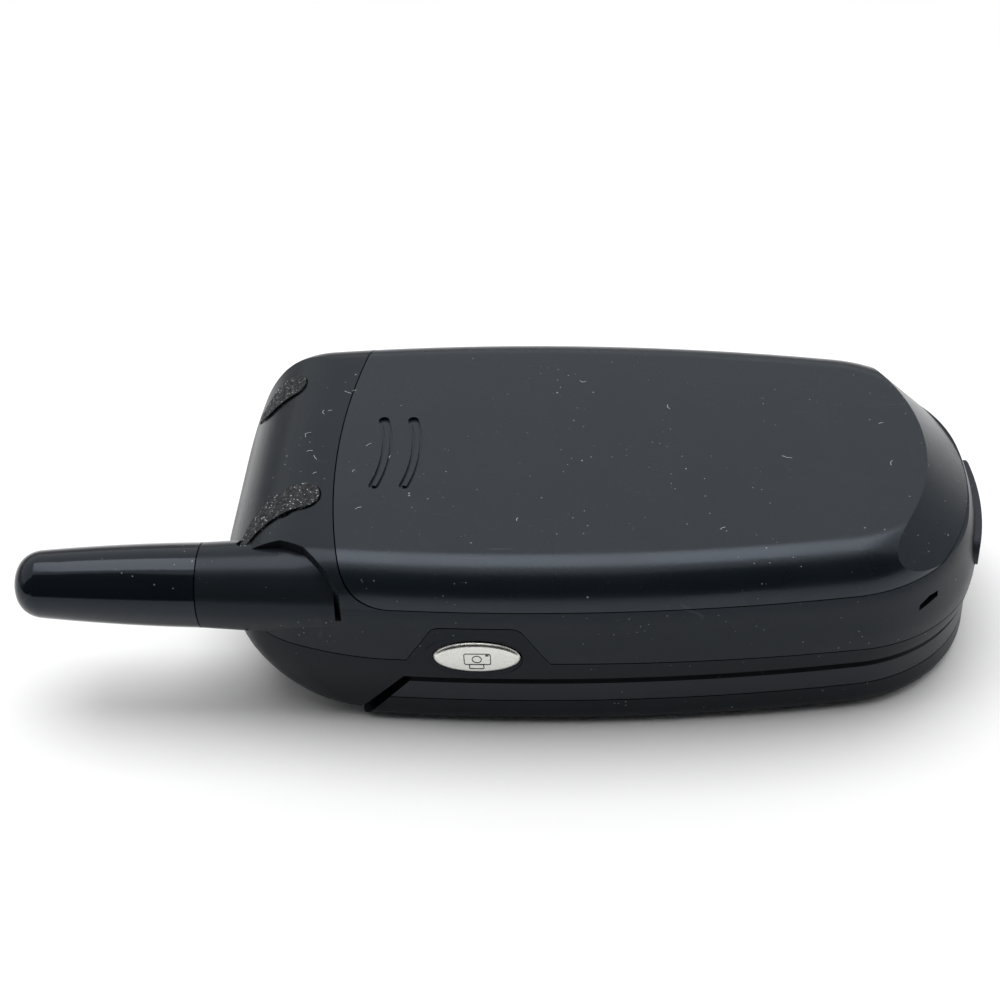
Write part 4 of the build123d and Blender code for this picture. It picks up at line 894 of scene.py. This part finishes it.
class PHONE_OT_grip_ribs(bpy.types.Operator):
    """Lay the two curved ribs in the grip grooves of the battery cover"""
    bl_idname = "phone.grip_ribs"
    bl_label = "Grip Ribs"

    def execute(self, context):
        width = context.scene.phone_marks.rib_width
        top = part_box("battery_cover")[1][2]
        half_angle = math.asin(GROOVE_REACH / GROOVE_ARC)
        for number, crest in enumerate(GROOVE_CRESTS, start=1):
            rib = flat_bow(width, GROOVE_ARC, 0.0, 2 * half_angle, RIB_STEPS)
            rib.rotation_euler = (0.0, 0.0, half_angle)
            apply_place()
            nearest = min(corner.co.y for corner in rib.data.vertices)
            if abs(nearest + GROOVE_REACH) > MM:
                raise RuntimeError("a grip rib lies beside its groove")
            raise_plate(RIB_HEIGHT)
            settle(rib, "grip_rib_%d" % number, finish_of("battery_cover"),
                   "battery_pack",
                   spot=(crest - GROOVE_ARC, GROOVE_MIDDLE, top - RIB_HEIGHT - RIB_SUNK))
        return {"FINISHED"}


class PHONE_OT_camera_sign(bpy.types.Operator):
    """Print a small camera on the camera key"""
    bl_idname = "phone.camera_sign"
    bl_label = "Camera Sign"

    # as shares of the sign's width: length, height, corner, x and y
    outlines = ((1.0, 0.57, 0.09, 0.0, 0.0), (0.56, 0.25, 0.06, -0.04, -0.38))
    window = (0.13, 0.07, 0.02, 0.36, 0.19)
    lens = (0.185, -0.02, -0.01)  # radius, x and y

    def execute(self, context):
        marks = context.scene.phone_marks
        width = marks.sign_width
        pieces = []
        for shape in self.outlines:
            pieces.append(flat_plate(*(share * width for share in shape)))
            raise_outline(marks.line_width, SIGN_DEPTH)
        radius, x, y = (share * width for share in self.lens)
        pieces.append(flat_disc(radius, DISC_CORNERS, x, y))
        raise_outline(marks.line_width, SIGN_DEPTH)
        pieces.append(flat_plate(*(share * width for share in self.window)))
        raise_plate(SIGN_DEPTH)
        low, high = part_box("camera_key")
        ink = moulded("sign_ink", SIGN_GREY, 0.4)
        settle(joined(pieces), "camera_sign", ink, "camera_key", ON_WALL,
               ((low[0] + high[0]) / 2 + SIGN_SHIFT, low[1] + SIGN_SKIN, KEY_HEIGHT_ON_WALL))
        return {"FINISHED"}


class PHONE_OT_lint(bpy.types.Operator):
    """Lay a few dust hairs on the back"""
    bl_idname = "phone.lint"
    bl_label = "Lint"

    # x, y, length and bow in millimetres, direction in degrees
    hairs = (
        (-31.7, 10.6, 1.0, 0.05, 150), (-30.9, 10.9, 0.5, 0.1, 20),
        (-34.2, 6.6, 0.8, 0.2, 100), (-33.5, 6.9, 0.5, 0.1, 15),
        (-35.6, 2.2, 1.1, 0.45, 60), (-35.0, -0.9, 0.7, 0.1, 10),
        (-34.2, -2.1, 0.9, 0.05, 120), (-33.9, -5.0, 0.5, 0.1, 35),
        (-28.0, 0.3, 0.8, 0.1, 45), (-29.3, -4.6, 0.5, 0.1, 60),
        (-34.6, -8.2, 1.3, 0.1, 5), (-25.2, -2.0, 0.5, 0.1, 70),
        (-28.0, -11.3, 0.8, 0.1, 30), (21.9, -1.9, 1.2, 0.15, 160),
        (34.0, -3.0, 0.9, 0.15, 75), (33.4, 4.4, 0.6, 0.1, 20),
        (8.1, 7.6, 0.9, 0.2, 110), (14.0, -14.6, 0.7, 0.1, 35),
        (-9.4, -13.2, 0.6, 0.1, 80), (-2.5, 12.8, 0.8, 0.25, 170),
    )

    def execute(self, context):
        width = context.scene.phone_marks.lint_width
        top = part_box("battery_cover")[1][2]
        dust = printed("lint", context.scene.phone_colours.dust)
        on_cover, on_housing = [], []
        for x, y, reach, bow, degrees in self.hairs:
            hair = flat_plate(reach * MM, width, width * LINT_CORNER)
            edit_all()
            bpy.ops.mesh.bisect(plane_co=(0, 0, 0), plane_no=(1, 0, 0))
            choose_corners(hair, lambda place: abs(place.x) < ON_LINE)
            bpy.ops.transform.translate(value=(0.0, bow * MM, 0.0))
            bpy.ops.object.mode_set(mode="OBJECT")
            raise_plate(LINT_THICKNESS)
            hair.rotation_euler = (0.0, 0.0, math.radians(degrees))
            hair.location = (x * MM, y * MM, 0.0)
            apply_place()
            (on_cover if x * MM > COVER_EDGE else on_housing).append(hair)
        spot = (0, 0, top - LINT_SUNK)
        settle(joined(on_cover), "cover_lint", dust, "battery_pack", spot=spot)
        settle(joined(on_housing), "housing_lint", dust, "housing", spot=spot)
        return {"FINISHED"}


class PHONE_OT_stage(bpy.types.Operator):
    """Set up the pale floor, the soft studio light and the camera"""
    bl_idname = "phone.stage"
    bl_label = "Stage"

    def seen_directly(self, tree):
        """1 for rays from the camera, off a gloss or through glass."""
        path = add(tree, "LightPath")
        seen = larger(tree, path.outputs["Is Camera Ray"], path.outputs["Is Glossy Ray"])
        return larger(tree, seen, path.outputs["Is Transmission Ray"])

    def floor(self):
        start_clean()
        bpy.ops.mesh.primitive_plane_add(size=FLOOR_SIZE, location=(0.0, 0.0, 0.0))
        floor = bpy.context.object
        floor.name = "floor"
        material, tree, shader = new_material("pale_floor")
        dark, pale = (solid((grey, grey, grey)) for grey in FLOOR_GREYS)
        shade = mixed(tree, noise(tree, 30.0), dark, pale)
        tree.links.new(shade, shader.inputs["Base Color"])
        matt(shader)
        white = add(tree, "Emission", {"Color": (1, 1, 1, 1), "Strength": 1.0})
        away = add(tree, "VectorMath", {0: place_on(tree)}, operation="LENGTH").outputs["Value"]
        far = ramp(tree, away, *FLOOR_PALES)
        share = times(tree, far, self.seen_directly(tree))
        both = add(tree, "MixShader", {0: share, 1: shader.outputs[0], 2: white.outputs[0]})
        surface(tree, both.outputs[0])
        floor.data.materials.append(material)

    def grey_cards(self):
        """Grey cards round the table, dark and tall in front, unseen by the camera."""
        start_clean()
        bpy.ops.mesh.primitive_circle_add(
            vertices=OVAL_CORNERS, radius=CARD_RADIUS, location=(0.0, 0.0, 0.0))
        cards = bpy.context.object
        cards.name = "grey_cards"
        edit_all()
        extrude_up(CARD_HEIGHT)
        choose_corners(cards, lambda place: place.z > CARD_HEIGHT / 2 and place.y < CARD_FRONT)
        bpy.ops.transform.translate(value=(0.0, 0.0, CARD_RISE))
        bpy.ops.object.mode_set(mode="OBJECT")
        material, tree, shader = new_material("grey_card")
        side = add(tree, "SeparateXYZ", {0: place_on(tree)}).outputs["Y"]
        shade = mixed(tree, ramp(tree, side, *CARD_SEAM), solid(DARK_CARD), solid(GREY_CARD))
        tree.links.new(shade, shader.inputs["Base Color"])
        matt(shader)
        clear = add(tree, "BsdfTransparent")
        path = add(tree, "LightPath")
        both = add(tree, "MixShader", {
            0: path.outputs["Is Camera Ray"], 1: shader.outputs[0], 2: clear.outputs[0]})
        surface(tree, both.outputs[0])
        cards.data.materials.append(material)

    def softbox(self, studio):
        start_clean()
        spot = Vector((-studio.box_side, studio.box_back, studio.box_height))
        bpy.ops.object.light_add(type="AREA", location=spot)
        box = bpy.context.object
        box.name = "softbox"
        box.rotation_euler = (-math.atan2(spot.y, spot.z), 0.0, 0.0)
        box.data.shape = "RECTANGLE"
        box.data.size = studio.box_length
        box.data.size_y = studio.box_width
        box.data.energy = studio.box_power

    def surroundings(self, studio):
        world = bpy.data.worlds.new("studio")
        world.use_nodes = True
        bpy.context.scene.world = world
        tree = world.node_tree
        tree.nodes.clear()
        seen = self.seen_directly(tree)
        light = add(tree, "Background", {"Color": (1, 1, 1, 1), "Strength": studio.fill})
        white = add(tree, "Background", {"Color": (1, 1, 1, 1), "Strength": 1.0})
        both = add(tree, "MixShader", {0: seen, 1: light.outputs[0], 2: white.outputs[0]})
        add(tree, "OutputWorld", {"Surface": both.outputs[0]})

    def camera(self, studio):
        away = Vector((math.sin(studio.turn) * math.cos(studio.tilt),
                       -math.cos(studio.turn) * math.cos(studio.tilt),
                       math.sin(studio.tilt)))
        level_right = away.cross(Vector((0, 0, -1))).normalized()
        level_up = away.cross(level_right)
        right = level_right * math.cos(studio.roll) + level_up * math.sin(studio.roll)
        up = level_up * math.cos(studio.roll) - level_right * math.sin(studio.roll)
        start_clean()
        bpy.ops.object.camera_add()
        camera = bpy.context.object
        camera.name = "camera"
        spot = Vector(studio.aim) + away * studio.distance
        turn = Matrix((right, up, away)).transposed().to_4x4()
        camera.matrix_world = Matrix.Translation(spot) @ turn
        camera.data.lens = studio.lens
        camera.data.sensor_width = FILM_WIDTH
        camera.data.clip_start = NEAREST
        bpy.context.scene.camera = camera

    def execute(self, context):
        studio = context.scene.phone_studio
        self.floor()
        self.grey_cards()
        self.softbox(studio)
        self.surroundings(studio)
        self.camera(studio)
        context.scene.view_settings.view_transform = "Standard"
        return {"FINISHED"}


class PHONE_PT_sidebar(bpy.types.Panel):
    """Steps that dress the phone, in their order"""
    bl_idname = "PHONE_PT_sidebar"
    bl_label = "Flip Phone"
    bl_space_type = "VIEW_3D"
    bl_region_type = "UI"
    bl_category = "Phone"

    def draw(self, context):
        column = self.layout.column()
        for step in STEPS:
            column.operator(step.bl_idname, text=step.bl_label)
        for group in (context.scene.phone_colours, context.scene.phone_marks,
                      context.scene.phone_studio):
            box = self.layout.box()
            for name in group.__annotations__:
                box.prop(group, name)


STEPS = (
    PHONE_OT_mouldings, PHONE_OT_rubbers, PHONE_OT_keys, PHONE_OT_metals,
    PHONE_OT_windows, PHONE_OT_inner_parts, PHONE_OT_numbers, PHONE_OT_call_signs,
    PHONE_OT_arrows, PHONE_OT_camera_key, PHONE_OT_camera_sign, PHONE_OT_grip_ribs,
    PHONE_OT_lint, PHONE_OT_stage,
)
CLASSES = (PhoneColours, PhoneMarks, PhoneStudio) + STEPS + (PHONE_PT_sidebar,)


def register():
    for kind in CLASSES:
        bpy.utils.register_class(kind)
    bpy.types.Scene.phone_colours = bpy.props.PointerProperty(type=PhoneColours)
    bpy.types.Scene.phone_marks = bpy.props.PointerProperty(type=PhoneMarks)
    bpy.types.Scene.phone_studio = bpy.props.PointerProperty(type=PhoneStudio)


def unregister():
    del bpy.types.Scene.phone_studio
    del bpy.types.Scene.phone_marks
    del bpy.types.Scene.phone_colours
    for kind in reversed(CLASSES):
        bpy.utils.unregister_class(kind)


def main():
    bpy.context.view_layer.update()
    register()
    for step in STEPS:
        group, name = step.bl_idname.split(".")
        getattr(getattr(bpy.ops, group), name)()
    bpy.context.view_layer.update()


if __name__ == "__main__":
    main()
